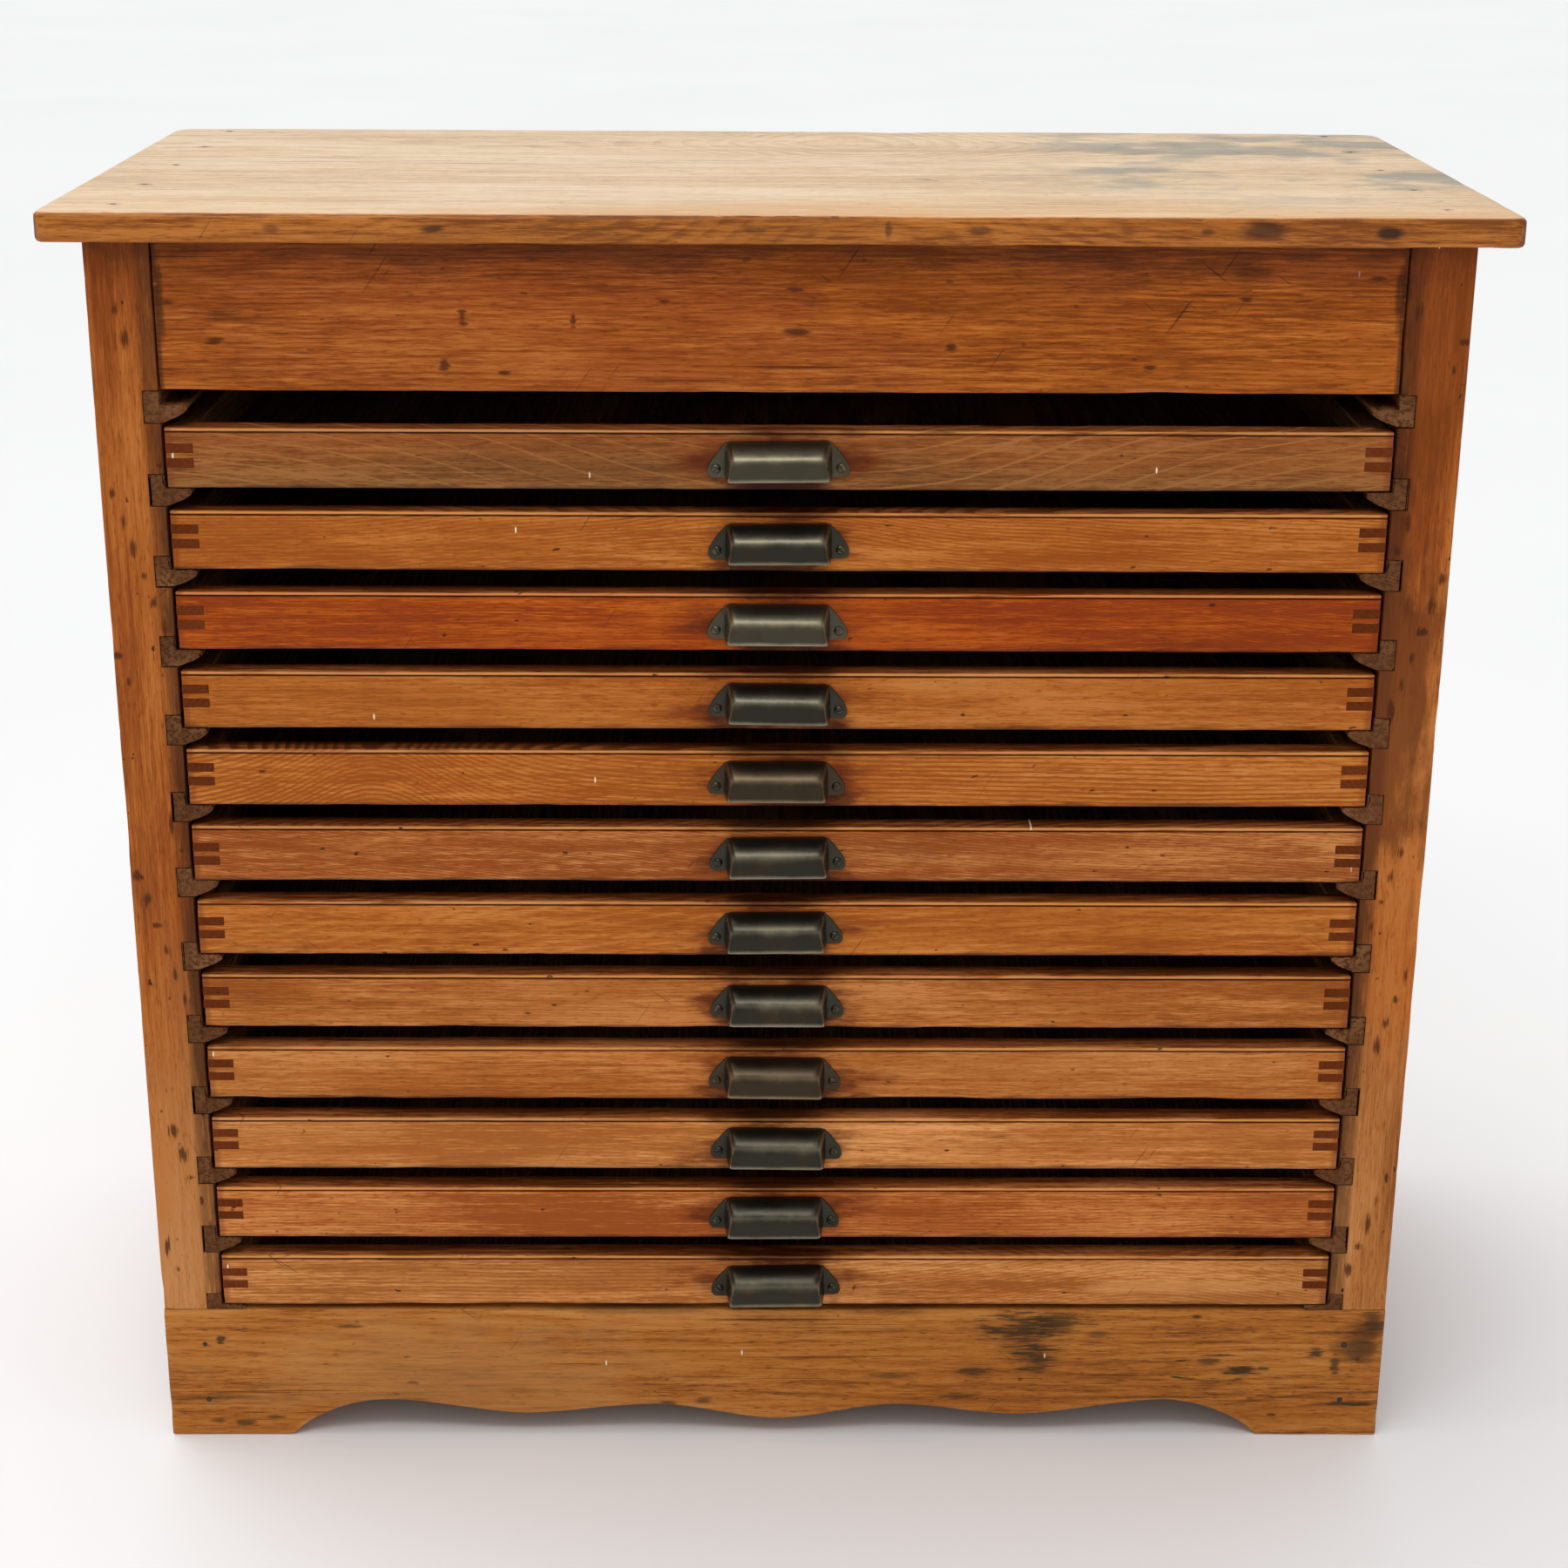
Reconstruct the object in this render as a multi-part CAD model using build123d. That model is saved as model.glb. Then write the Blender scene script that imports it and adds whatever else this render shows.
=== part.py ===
"""Old wooden flat file cabinet: twelve shallow trays on L-section runners in a post-and-rail case.

Millimetres. +Z up, +X to the viewer's right, the drawers open towards -Y. The origin is on the floor,
under the middle of the top board. Left and right are as seen by someone who faces the drawers.
Each node is written to parts/NODE.step, and each solid in it is one real piece of wood or metal.
"""

from build123d import *
import os

# ---------------------------------------------------------------- driving dimensions
CASE_WIDTH = 1000.0
CASE_DEPTH = 494.0
CABINET_HEIGHT = 1008.0

TOP_THICKNESS = 22.0
TOP_FRONT_OVERHANG = 26.0  # past the case
TOP_SIDE_OVERHANG = 29.0
TOP_BACK_OVERHANG = 10.0
TOP_BACK_CORNER_R = 26.0
TOP_FRONT_CORNER_R = 8.0
TOP_UPPER_EDGE_R = 4.0
TOP_LOWER_EDGE_R = 2.5

POST_WIDTH = 48.0  # along X, as seen from the front
POST_DEPTH = 45.0
POST_EDGE_R = 1.5

PLINTH_HEIGHT = 118.5
PLINTH_THICKNESS = 22.0
FOOT_WIDTH = 100.0  # from the cabinet's side to the foot's inner corner
SCALLOPS = ((321.0, 33.0), (198.0, 20.0), (100.0, 29.0), (0.0, 15.6))  # (distance from the middle, height)

FRIEZE_BOTTOM = 876.0
FRIEZE_THICKNESS = 20.0
FRIEZE_SETBACK = 1.5

SIDE_RAIL_THICKNESS = 22.0
SIDE_RAIL_SETBACK = 2.0
SIDE_TOP_RAIL_HEIGHT = 75.0
SIDE_BOTTOM_RAIL = (50.0, 130.0)  # lower and upper edge
PANEL_THICKNESS = 10.0
PANEL_SETBACK = 12.0
GROOVE_DEPTH = 8.0
PANEL_PLAY = 0.5  # a panel floats in its groove

BACK_BOARD_THICKNESS = 12.0
BACK_BOARD_COUNT = 6
BACK_BOARD_GAP = 0.6
BACK_BOARD_FOOT = 40.0
BACK_REBATE = 14.0  # width of the step in each back post that holds the boards
BACK_RAIL_THICKNESS = 20.0
BACK_TOP_RAIL_HEIGHT = 60.0
BACK_BOTTOM_RAIL = (40.0, 105.0)

BOTTOM_BOARD_THICKNESS = 16.0
BOTTOM_BOARD_TOP = 104.0
CLEAT = 20.0

TENON_LENGTH = 12.0
TENON_THICKNESS = 8.0
TENON_SHOULDER = 8.0  # how far a tenon stays inside its rail's edges

DRAWER_COUNT = 12
DRAWER_PITCH = 61.9
LOWEST_DRAWER_BOTTOM = 123.0
DRAWER_WIDTH = 900.0
DRAWER_HEIGHT = 45.0
DRAWER_LENGTH = 462.0
DRAWER_BOARD = 20.0  # thickness of the front and of the sides
SIDE_HEIGHT = 43.0
FINGER_FLOORS = (15.5, 26.5)  # lower edge of each of a side's two fingers, above the drawer's bottom
FINGER_HEIGHT = 6.5
FINGER_SHIFTS = (0.0, 1.0, 0.5, 1.0, 0.5, -2.5, -2.0, 1.0, 0.5, 1.5, 1.0, 0.0)  # each tray was cut by hand
TRAY_BOTTOM = (4.0, 9.0)
TRAY_GROOVE_DEPTH = 6.0
TRAY_BACK = (440.0, 456.0)  # distance of its two faces from the drawer's face
TRAY_BACK_TOP = 40.0
TRAY_BACK_HOUSING = 5.0

BEAD_HEIGHT = 2.7
QUIRK_WIDTH = 1.2
QUIRK_DEPTH = 1.7
BEAD_R = 1.2
FRONT_EDGE_R = 1.0

RUNNER_LEG_THICKNESS = 12.0
RUNNER_ABOVE = 10.0  # leg above the drawer's bottom
RUNNER_BELOW = 14.0  # leg and tongue root below the drawer's bottom
TONGUE_REACH = 20.0
TONGUE_TIP_SLANT = 4.0
TONGUE_TIP_THICKNESS = 10.0
RUNNER_PLAY = 0.4  # under the drawer
STOP_LENGTH = 19.0
STOP_HEIGHT = 8.0
STOP_PLAY = 0.5

PULL_REACH = 22.0
PULL_TOP = 37.0
PULL_LIP = 11.0
PULL_WIDTH = 77.0
PULL_END_DRAFT = 3.0  # each end leans in by this much from the wood to the lip
PULL_WALL = 1.8
PULL_CORNER_R = 2.6
EAR_TIP = 52.5
EAR_SHOULDER = (50.0, 22.0)
EAR_BOTTOM = 9.5
PULL_SCREW = (46.0, 16.7)
SCREW_HEAD_R = 3.6
SCREW_HEAD_HEIGHT = 2.0
SCREW_SHANK_R = 1.6
SCREW_LENGTH = 13.0
SCREW_SLOT = (0.9, 0.9)  # width and depth
SCREW_PLAY = 0.15

NAIL_HEAD_R = 2.8
NAIL_HEAD_THICKNESS = 1.2
NAIL_SHANK_R = 1.3
TOP_NAIL_LENGTH = 48.0
TOP_NAIL_INSET = 22.0
TOP_NAIL_STATIONS = (-226.0, -118.0, 2.0, 124.0, 238.0)
PLINTH_NAIL_LENGTH = 38.0
PLINTH_NAIL_INSET = 32.0
PLINTH_NAIL_HEIGHTS = (34.0, 86.0)
BACK_NAIL_LENGTH = 26.0
BACK_NAIL_EDGE = 35.0

# ---------------------------------------------------------------- worked-out places
HALF_CASE = CASE_WIDTH / 2
TOP_DEPTH = CASE_DEPTH + TOP_FRONT_OVERHANG + TOP_BACK_OVERHANG
FRONT = -TOP_DEPTH / 2 + TOP_FRONT_OVERHANG
BACK = FRONT + CASE_DEPTH
CASE_TOP = CABINET_HEIGHT - TOP_THICKNESS
OPENING = HALF_CASE - POST_WIDTH  # half the clear width between the posts
RUNNER_END = BACK - BACK_BOARD_THICKNESS - 1.0
HALF_DRAWER = DRAWER_WIDTH / 2
DRAWER_BOTTOMS = [
    LOWEST_DRAWER_BOTTOM + DRAWER_PITCH * (DRAWER_COUNT - 1 - i) for i in range(DRAWER_COUNT)
]
RUNNER_LEVELS = [DRAWER_BOTTOMS[0] + DRAWER_PITCH] + DRAWER_BOTTOMS  # the highest pair carries nothing
PANEL_X = (-HALF_CASE + PANEL_SETBACK, -HALF_CASE + PANEL_SETBACK + PANEL_THICKNESS)


# ---------------------------------------------------------------- helpers
def block(x, y, z):
    """A box from its (low, high) pair along each axis."""
    centre = [(low + high) / 2 for low, high in (x, y, z)]
    size = [high - low for low, high in (x, y, z)]
    return Pos(*centre) * Box(*size)


def prism(points, y_low, y_high):
    """A closed outline of (x, z) points, extruded from y_low back to y_high."""
    face = Plane((0, y_low, 0), x_dir=(1, 0, 0), z_dir=(0, -1, 0)) * make_face(Polyline(*points, close=True))
    return extrude(face, amount=-(y_high - y_low))


def other_side(shape):
    """The same piece on the cabinet's other side."""
    return mirror(shape, about=Plane.YZ)


def both_sides(shapes):
    """The pieces and their mirror images."""
    return list(shapes) + [other_side(s) for s in shapes]


def eased(shape, axis, radius):
    """Rounds a board's long edges, those along one axis."""
    return fillet(shape.edges().filter_by(axis), radius)


def cut_from(shape, tools):
    """Takes several tools away from one solid."""
    for tool in tools:
        shape = shape - tool
    return shape


def save(name, pieces):
    """Writes one node: a single piece, or a list of separate ones."""
    pieces = pieces if isinstance(pieces, list) else [pieces]
    solids = [s for piece in pieces for s in piece.solids()]
    export_step(solids[0] if len(solids) == 1 else Compound(children=solids), f"parts/{name}.step")


# ---------------------------------------------------------------- fasteners
def nail(length):
    """A flat-headed nail driven down into the plane z = 0, its head flush with it."""
    head = Cylinder(NAIL_HEAD_R, NAIL_HEAD_THICKNESS, align=(Align.CENTER, Align.CENTER, Align.MAX))
    shank = Cylinder(NAIL_SHANK_R, length, align=(Align.CENTER, Align.CENTER, Align.MAX))
    return head + shank


def top_nails():
    x = HALF_CASE - TOP_NAIL_INSET
    one_side = [Pos(-x, y, CABINET_HEIGHT) * nail(TOP_NAIL_LENGTH) for y in TOP_NAIL_STATIONS]
    return both_sides(one_side)


def plinth_nails():
    x = HALF_CASE - PLINTH_NAIL_INSET
    forward = Rot(90, 0, 0) * nail(PLINTH_NAIL_LENGTH)
    return both_sides([Pos(-x, FRONT, z) * forward for z in PLINTH_NAIL_HEIGHTS])


def back_nails():
    """Two nails through each back board into the upper rail and two into the lower one."""
    backward = Rot(-90, 0, 0) * nail(BACK_NAIL_LENGTH)
    heights = (CASE_TOP - BACK_TOP_RAIL_HEIGHT / 2, sum(BACK_BOTTOM_RAIL) / 2)
    return [
        Pos(x, BACK, z) * backward
        for low, high in back_board_spans()
        for x in (low + BACK_NAIL_EDGE, high - BACK_NAIL_EDGE)
        for z in heights
    ]


# ---------------------------------------------------------------- case
def top_board():
    half = HALF_CASE + TOP_SIDE_OVERHANG
    board = block((-half, half), (-TOP_DEPTH / 2, TOP_DEPTH / 2), (CASE_TOP, CABINET_HEIGHT))
    corners = board.edges().filter_by(Axis.Z).sort_by(Axis.Y)
    board = fillet(corners[-2:], TOP_BACK_CORNER_R)
    corners = board.edges().filter_by(Axis.Z).sort_by(Axis.Y)
    board = fillet(corners[:2], TOP_FRONT_CORNER_R)
    board = fillet(board.faces().sort_by(Axis.Z)[-1].edges(), TOP_UPPER_EDGE_R)
    board = fillet(board.faces().sort_by(Axis.Z)[0].edges(), TOP_LOWER_EDGE_R)
    return cut_from(board, top_nails())


def runner_housings(y):
    """The notches that the runners' legs fill in a left-hand post."""
    x = (-OPENING - RUNNER_LEG_THICKNESS, -OPENING)
    return [block(x, y, (level - RUNNER_BELOW, level + RUNNER_ABOVE)) for level in RUNNER_LEVELS]


def rail_tenon(y, z):
    """The tenon that a front or back rail puts into a left-hand post."""
    middle = sum(y) / 2
    return block(
        (-OPENING - TENON_LENGTH, -OPENING),
        (middle - TENON_THICKNESS / 2, middle + TENON_THICKNESS / 2),
        (z[0] + TENON_SHOULDER, z[1] - TENON_SHOULDER),
    )


FRIEZE_Y = (FRONT + FRIEZE_SETBACK, FRONT + FRIEZE_SETBACK + FRIEZE_THICKNESS)
FRIEZE_Z = (FRIEZE_BOTTOM, CASE_TOP)
BACK_RAIL_Y = (BACK - BACK_BOARD_THICKNESS - BACK_RAIL_THICKNESS, BACK - BACK_BOARD_THICKNESS)
BACK_TOP_RAIL_Z = (CASE_TOP - BACK_TOP_RAIL_HEIGHT, CASE_TOP)


def front_left_post():
    y = (FRONT, FRONT + POST_DEPTH)
    post = block((-HALF_CASE, -OPENING), y, (0, CASE_TOP))
    post = eased(post, Axis.Z, POST_EDGE_R)
    plinth_step = block((-HALF_CASE, -OPENING), (FRONT, FRONT + PLINTH_THICKNESS), (0, PLINTH_HEIGHT))
    groove = block(PANEL_X, (y[1] - GROOVE_DEPTH, y[1]), (SIDE_BOTTOM_RAIL[0], CASE_TOP))
    tools = [plinth_step, groove, rail_tenon(FRIEZE_Y, FRIEZE_Z)]
    return cut_from(post, tools + runner_housings(y) + top_nails() + plinth_nails())


def back_left_post():
    y = (BACK - POST_DEPTH, BACK)
    post = block((-HALF_CASE, -OPENING), y, (0, CASE_TOP))
    post = eased(post, Axis.Z, POST_EDGE_R)
    groove = block(PANEL_X, (y[0], y[0] + GROOVE_DEPTH), (SIDE_BOTTOM_RAIL[0], CASE_TOP))
    rebate = block(
        (-OPENING - BACK_REBATE, -OPENING),
        (BACK - BACK_BOARD_THICKNESS, BACK),
        (BACK_BOARD_FOOT, CASE_TOP),
    )
    tenons = [rail_tenon(BACK_RAIL_Y, BACK_TOP_RAIL_Z), rail_tenon(BACK_RAIL_Y, BACK_BOTTOM_RAIL)]
    housings = runner_housings((y[0], RUNNER_END))
    return cut_from(post, [groove, rebate] + tenons + housings + top_nails())


def cross_rail(y, z):
    """A front or back rail between the posts, with a tenon at each end."""
    rail = eased(block((-OPENING, OPENING), y, z), Axis.X, POST_EDGE_R)
    tenon = rail_tenon(y, z)
    return rail + tenon + other_side(tenon)


def frieze_board():
    return cross_rail(FRIEZE_Y, FRIEZE_Z)


def back_rail(z):
    return cut_from(cross_rail(BACK_RAIL_Y, z), back_nails())


def foot_arc_points(foot, crest_x, crest_z):
    """A middle point and the crest of the arc that rises from a foot's corner and is level at the crest."""
    run = foot - crest_x
    radius = (run**2 + crest_z**2) / (2 * crest_z)
    middle_x = run / 2
    middle_z = crest_z - (radius - (radius**2 - middle_x**2) ** 0.5)
    return (-(crest_x + middle_x), middle_z), (-crest_x, crest_z)


def plinth_board():
    """The scalloped base board, which laps over the feet of both front posts."""
    foot = HALF_CASE - FOOT_WIDTH
    swell = ThreePointArc((-foot, 0), *foot_arc_points(foot, *SCALLOPS[0]))
    waves = []
    stations = [(-x, z) for x, z in SCALLOPS] + [(x, z) for x, z in reversed(SCALLOPS[:-1])]
    for start, end in zip(stations, stations[1:]):
        waves.append(Spline(start, end, tangents=((1, 0), (1, 0))))
    outline = [
        Polyline((foot, 0), (HALF_CASE, 0), (HALF_CASE, PLINTH_HEIGHT), (-HALF_CASE, PLINTH_HEIGHT),
                 (-HALF_CASE, 0), (-foot, 0)),
        swell,
        *waves,
        mirror(swell, about=Plane.YZ),
    ]
    face = Plane((0, FRONT, 0), x_dir=(1, 0, 0), z_dir=(0, -1, 0)) * make_face(outline)
    board = extrude(face, amount=-PLINTH_THICKNESS)
    ends = [e for e in board.edges().filter_by(Axis.Z) if e.center().Y < FRONT + 1]
    board = fillet(ends, POST_EDGE_R)
    return cut_from(board, plinth_nails())


def side_rail(z, groove_on_top):
    """A left-hand rail between the front and back posts, with a tongue at each end for the posts' grooves."""
    x_low = -HALF_CASE + SIDE_RAIL_SETBACK
    y = (FRONT + POST_DEPTH, BACK - POST_DEPTH)
    rail = block((x_low, x_low + SIDE_RAIL_THICKNESS), y, z)
    rail = eased(rail, Axis.Y, POST_EDGE_R)
    tongue_z = (z[0] + 1, z[1] - 1)
    tongue = block(PANEL_X, (y[0] - GROOVE_DEPTH, y[1] + GROOVE_DEPTH), tongue_z)
    edge = (z[1] - GROOVE_DEPTH, z[1]) if groove_on_top else (z[0], z[0] + GROOVE_DEPTH)
    groove = block(PANEL_X, (y[0] - GROOVE_DEPTH, y[1] + GROOVE_DEPTH), edge)
    return cut_from(rail + tongue, [groove] + top_nails())


def left_side_panel():
    reach = GROOVE_DEPTH - PANEL_PLAY
    y = (FRONT + POST_DEPTH - reach, BACK - POST_DEPTH + reach)
    z = (SIDE_BOTTOM_RAIL[1] - reach, CASE_TOP - SIDE_TOP_RAIL_HEIGHT + reach)
    return block(PANEL_X, y, z)


def back_board_spans():
    """The (left, right) edges of the upright boards across the back."""
    half = OPENING + BACK_REBATE
    width = 2 * half / BACK_BOARD_COUNT
    edges = [-half + i * width for i in range(BACK_BOARD_COUNT + 1)]
    return [(a + BACK_BOARD_GAP / 2, b - BACK_BOARD_GAP / 2) for a, b in zip(edges, edges[1:])]


def back_boards():
    y = (BACK - BACK_BOARD_THICKNESS, BACK)
    nails = back_nails()
    boards = []
    for span in back_board_spans():
        board = eased(block(span, y, (BACK_BOARD_FOOT, CASE_TOP)), Axis.Z, 1.0)
        boards.append(cut_from(board, [n for n in nails if span[0] < n.center().X < span[1]]))
    return boards


def bottom_board():
    x = OPENING - 0.5
    return block(
        (-x, x),
        (FRONT + PLINTH_THICKNESS, BACK_RAIL_Y[0]),
        (BOTTOM_BOARD_TOP - BOTTOM_BOARD_THICKNESS, BOTTOM_BOARD_TOP),
    )


def bottom_cleats():
    """Strips behind the plinth and in front of the back rail that carry the bottom board."""
    x = (-OPENING + 10, OPENING - 10)
    z = (BOTTOM_BOARD_TOP - BOTTOM_BOARD_THICKNESS - CLEAT, BOTTOM_BOARD_TOP - BOTTOM_BOARD_THICKNESS)
    front = (FRONT + PLINTH_THICKNESS, FRONT + PLINTH_THICKNESS + CLEAT)
    back = (BACK_RAIL_Y[0] - CLEAT, BACK_RAIL_Y[0])
    return [block(x, front, z), block(x, back, z)]


# ---------------------------------------------------------------- runners and stops
def runner(level):
    """A left-hand runner: its leg sits in the posts, and its tongue carries the tray."""
    top = level - RUNNER_PLAY
    tip = -OPENING + TONGUE_REACH
    outline = [
        (-OPENING - RUNNER_LEG_THICKNESS, level - RUNNER_BELOW),
        (-OPENING, level - RUNNER_BELOW),
        (tip - TONGUE_TIP_SLANT, top - TONGUE_TIP_THICKNESS),
        (tip, top),
        (-OPENING, top),
        (-OPENING, level + RUNNER_ABOVE),
        (-OPENING - RUNNER_LEG_THICKNESS, level + RUNNER_ABOVE),
    ]
    return prism(outline, FRONT, RUNNER_END)


def left_runners():
    """All thirteen; the lowest is notched over the plinth."""
    strips = [runner(level) for level in RUNNER_LEVELS]
    plinth_space = block(
        (-HALF_CASE, HALF_CASE), (FRONT, FRONT + PLINTH_THICKNESS), (0, PLINTH_HEIGHT)
    )
    strips[-1] = strips[-1] - plinth_space
    return strips


def drawer_stops():
    """A small block on the back of each runner, where the closed tray comes to rest."""
    y_low = FRONT + DRAWER_LENGTH + STOP_PLAY
    x = (-HALF_DRAWER, -OPENING + TONGUE_REACH - TONGUE_TIP_SLANT)
    blocks = [
        block(x, (y_low, y_low + STOP_LENGTH), (level - RUNNER_PLAY, level + STOP_HEIGHT))
        for level in DRAWER_BOTTOMS
    ]
    return both_sides(blocks)


# ---------------------------------------------------------------- drawers, with their bottom at z = 0
def screw():
    """A slotted round-head screw driven back from the plane y = 0."""
    ball_r = (SCREW_HEAD_R**2 + SCREW_HEAD_HEIGHT**2) / (2 * SCREW_HEAD_HEIGHT)
    dome = Pos(0, 0, SCREW_HEAD_HEIGHT - ball_r) * Sphere(ball_r)
    head = dome & Cylinder(SCREW_HEAD_R, SCREW_HEAD_HEIGHT, align=(Align.CENTER, Align.CENTER, Align.MIN))
    shank = Cylinder(SCREW_SHANK_R, SCREW_LENGTH, align=(Align.CENTER, Align.CENTER, Align.MAX))
    width, depth = SCREW_SLOT
    slot = Pos(0, 0, SCREW_HEAD_HEIGHT - depth / 2) * Box(3 * SCREW_HEAD_R, width, depth)
    return Rot(90, 0, 0) * Rot(0, 0, 35) * (head + shank - slot)


def pull_screws():
    x, z = PULL_SCREW
    return [Pos(side * x, FRONT - PULL_WALL, z) * screw() for side in (-1, 1)]


def cup_form(shrink, corner_r):
    """The cup as a closed form: a quarter ellipse in side view, with ends that lean in towards the lip."""
    reach, height = PULL_REACH - shrink, PULL_TOP - PULL_LIP - shrink
    half = PULL_WIDTH / 2 - shrink
    side = Plane((-half, FRONT, PULL_LIP), x_dir=(0, -1, 0), z_dir=(1, 0, 0))
    quarter = Ellipse(reach, height) & (Pos(reach / 2, -height / 2) * Rectangle(reach, height))
    body = extrude(side * quarter, amount=2 * half)
    depth = PULL_REACH
    for sign in (-1, 1):
        outline = [(sign * half, 0), (sign * (half + 5), 0), (sign * (half + 5), -depth - 5),
                   (sign * (half - PULL_END_DRAFT * (depth + 5) / depth), -depth - 5)]
        wedge = extrude(make_face(Polyline(*outline, close=True)), amount=2 * PULL_TOP)
        body = body - Pos(0, FRONT, -PULL_TOP / 2) * wedge
    rims = [e for e in body.edges() if is_cup_corner(e)]
    return fillet(rims, corner_r)


def is_cup_corner(edge):
    """True for the curved edge where an end meets the cup's round."""
    middle = edge.position_at(0.5)
    off_wood = middle.Y < FRONT - 2
    above_lip = middle.Z > PULL_LIP + 4
    return edge.geom_type != GeomType.LINE and off_wood and above_lip


def ear():
    """The right-hand ear, a flat wing with a screw hole."""
    inner = PULL_WIDTH / 2 - PULL_WALL
    outline = [
        (inner, PULL_TOP - 1.0),
        (PULL_WIDTH / 2, PULL_TOP - 1.0),
        EAR_SHOULDER,
        (EAR_TIP, EAR_SHOULDER[1] - 6),
        (EAR_TIP - 1.0, EAR_BOTTOM + 1.5),
        (inner, EAR_BOTTOM),
    ]
    plate = prism(outline, FRONT - PULL_WALL, FRONT)
    tips = [e for e in plate.edges().filter_by(Axis.Y) if e.center().X > PULL_WIDTH / 2 + 5]
    plate = fillet(tips, 2.2)
    x, z = PULL_SCREW
    hole = Pos(x, FRONT, z) * Rot(90, 0, 0) * Cylinder(SCREW_SHANK_R + SCREW_PLAY, 6 * PULL_WALL)
    return plate - hole


def cup_pull():
    outer = cup_form(0, PULL_CORNER_R)
    hollow = cup_form(PULL_WALL, PULL_CORNER_R - 1.4)
    opened = hollow + Pos(0, 0, -1) * hollow + Pos(0, 0.9, 0) * hollow
    right_ear = ear()
    return outer - opened + right_ear + other_side(right_ear)


def finger_blocks(shift, grow=0.0):
    """The left side's fingers, which reach through to the front's face."""
    x = (-HALF_DRAWER, -HALF_DRAWER + DRAWER_BOARD)
    y = (FRONT, FRONT + DRAWER_BOARD + grow)
    return [block(x, y, (floor + shift, floor + shift + FINGER_HEIGHT)) for floor in FINGER_FLOORS]


def face_edges(board):
    """The edges along X that lie in a board's front face, from the lowest to the highest."""
    edges = [e for e in board.edges().filter_by(Axis.X) if e.center().Y < FRONT + 0.1]
    return sorted(edges, key=lambda e: e.center().Z)


def plain_front():
    """The face board before its slots are cut: a bead on its top edge and a groove for the tray's floor."""
    y = (FRONT, FRONT + DRAWER_BOARD)
    board = block((-HALF_DRAWER, HALF_DRAWER), y, (0, DRAWER_HEIGHT))
    quirk_z = (DRAWER_HEIGHT - BEAD_HEIGHT - QUIRK_WIDTH, DRAWER_HEIGHT - BEAD_HEIGHT)
    quirk = block((-HALF_DRAWER, HALF_DRAWER), (FRONT, FRONT + QUIRK_DEPTH), quirk_z)
    board = board - quirk
    board = fillet(face_edges(board)[-2:], BEAD_R)
    board = fillet(face_edges(board)[:1], FRONT_EDGE_R)
    groove_half = HALF_DRAWER - DRAWER_BOARD + TRAY_GROOVE_DEPTH
    groove = block((-groove_half, groove_half), (y[1] - TRAY_GROOVE_DEPTH, y[1]), TRAY_BOTTOM)
    return cut_from(board, [groove] + pull_screws())


def plain_side():
    """The left-hand side without its fingers: grooved for the floor and housed for the back."""
    x = (-HALF_DRAWER, -HALF_DRAWER + DRAWER_BOARD)
    y = (FRONT + DRAWER_BOARD, FRONT + DRAWER_LENGTH)
    side = eased(block(x, y, (0, SIDE_HEIGHT)), Axis.Y, FRONT_EDGE_R)
    groove = block((x[1] - TRAY_GROOVE_DEPTH, x[1]), y, TRAY_BOTTOM)
    housing = block(
        (x[1] - TRAY_BACK_HOUSING, x[1]),
        (FRONT + TRAY_BACK[0], FRONT + TRAY_BACK[1]),
        (TRAY_BOTTOM[1], SIDE_HEIGHT),
    )
    return side - groove - housing


def tray_back():
    half = HALF_DRAWER - DRAWER_BOARD + TRAY_BACK_HOUSING
    y = (FRONT + TRAY_BACK[0], FRONT + TRAY_BACK[1])
    return block((-half, half), y, (TRAY_BOTTOM[1], TRAY_BACK_TOP))


def tray_floor():
    half = HALF_DRAWER - DRAWER_BOARD + TRAY_GROOVE_DEPTH
    y = (FRONT + DRAWER_BOARD - TRAY_GROOVE_DEPTH, FRONT + DRAWER_LENGTH - 2)
    return block((-half, half), y, TRAY_BOTTOM)


def jointed(front, side, shift):
    """One tray's front with its slots, and its two sides with the fingers that fill them."""
    front = cut_from(front, both_sides(finger_blocks(shift)))
    for finger in finger_blocks(shift, grow=1.0):
        side = side + finger
    return front, both_sides([side])


# ---------------------------------------------------------------- write the nodes
os.makedirs("parts", exist_ok=True)

front_post = front_left_post()
back_post = back_left_post()
top_rail = side_rail((CASE_TOP - SIDE_TOP_RAIL_HEIGHT, CASE_TOP), groove_on_top=False)
low_rail = side_rail(SIDE_BOTTOM_RAIL, groove_on_top=True)
panel = left_side_panel()
runners = left_runners()

save("top_board", top_board())
save("frieze_board", frieze_board())
save("plinth_board", plinth_board())
save("front_left_post", front_post)
save("front_right_post", other_side(front_post))
save("back_left_post", back_post)
save("back_right_post", other_side(back_post))
save("left_side_top_rail", top_rail)
save("right_side_top_rail", other_side(top_rail))
save("left_side_bottom_rail", low_rail)
save("right_side_bottom_rail", other_side(low_rail))
save("left_side_panel", panel)
save("right_side_panel", other_side(panel))
save("back_top_rail", back_rail(BACK_TOP_RAIL_Z))
save("back_bottom_rail", back_rail(BACK_BOTTOM_RAIL))
save("back_boards", back_boards())
save("bottom_board", bottom_board())
save("bottom_cleats", bottom_cleats())
save("left_runners", runners)
save("right_runners", [other_side(r) for r in runners])
save("drawer_stops", drawer_stops())
save("top_nails", top_nails())
save("plinth_nails", plinth_nails())
save("back_nails", back_nails())

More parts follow.
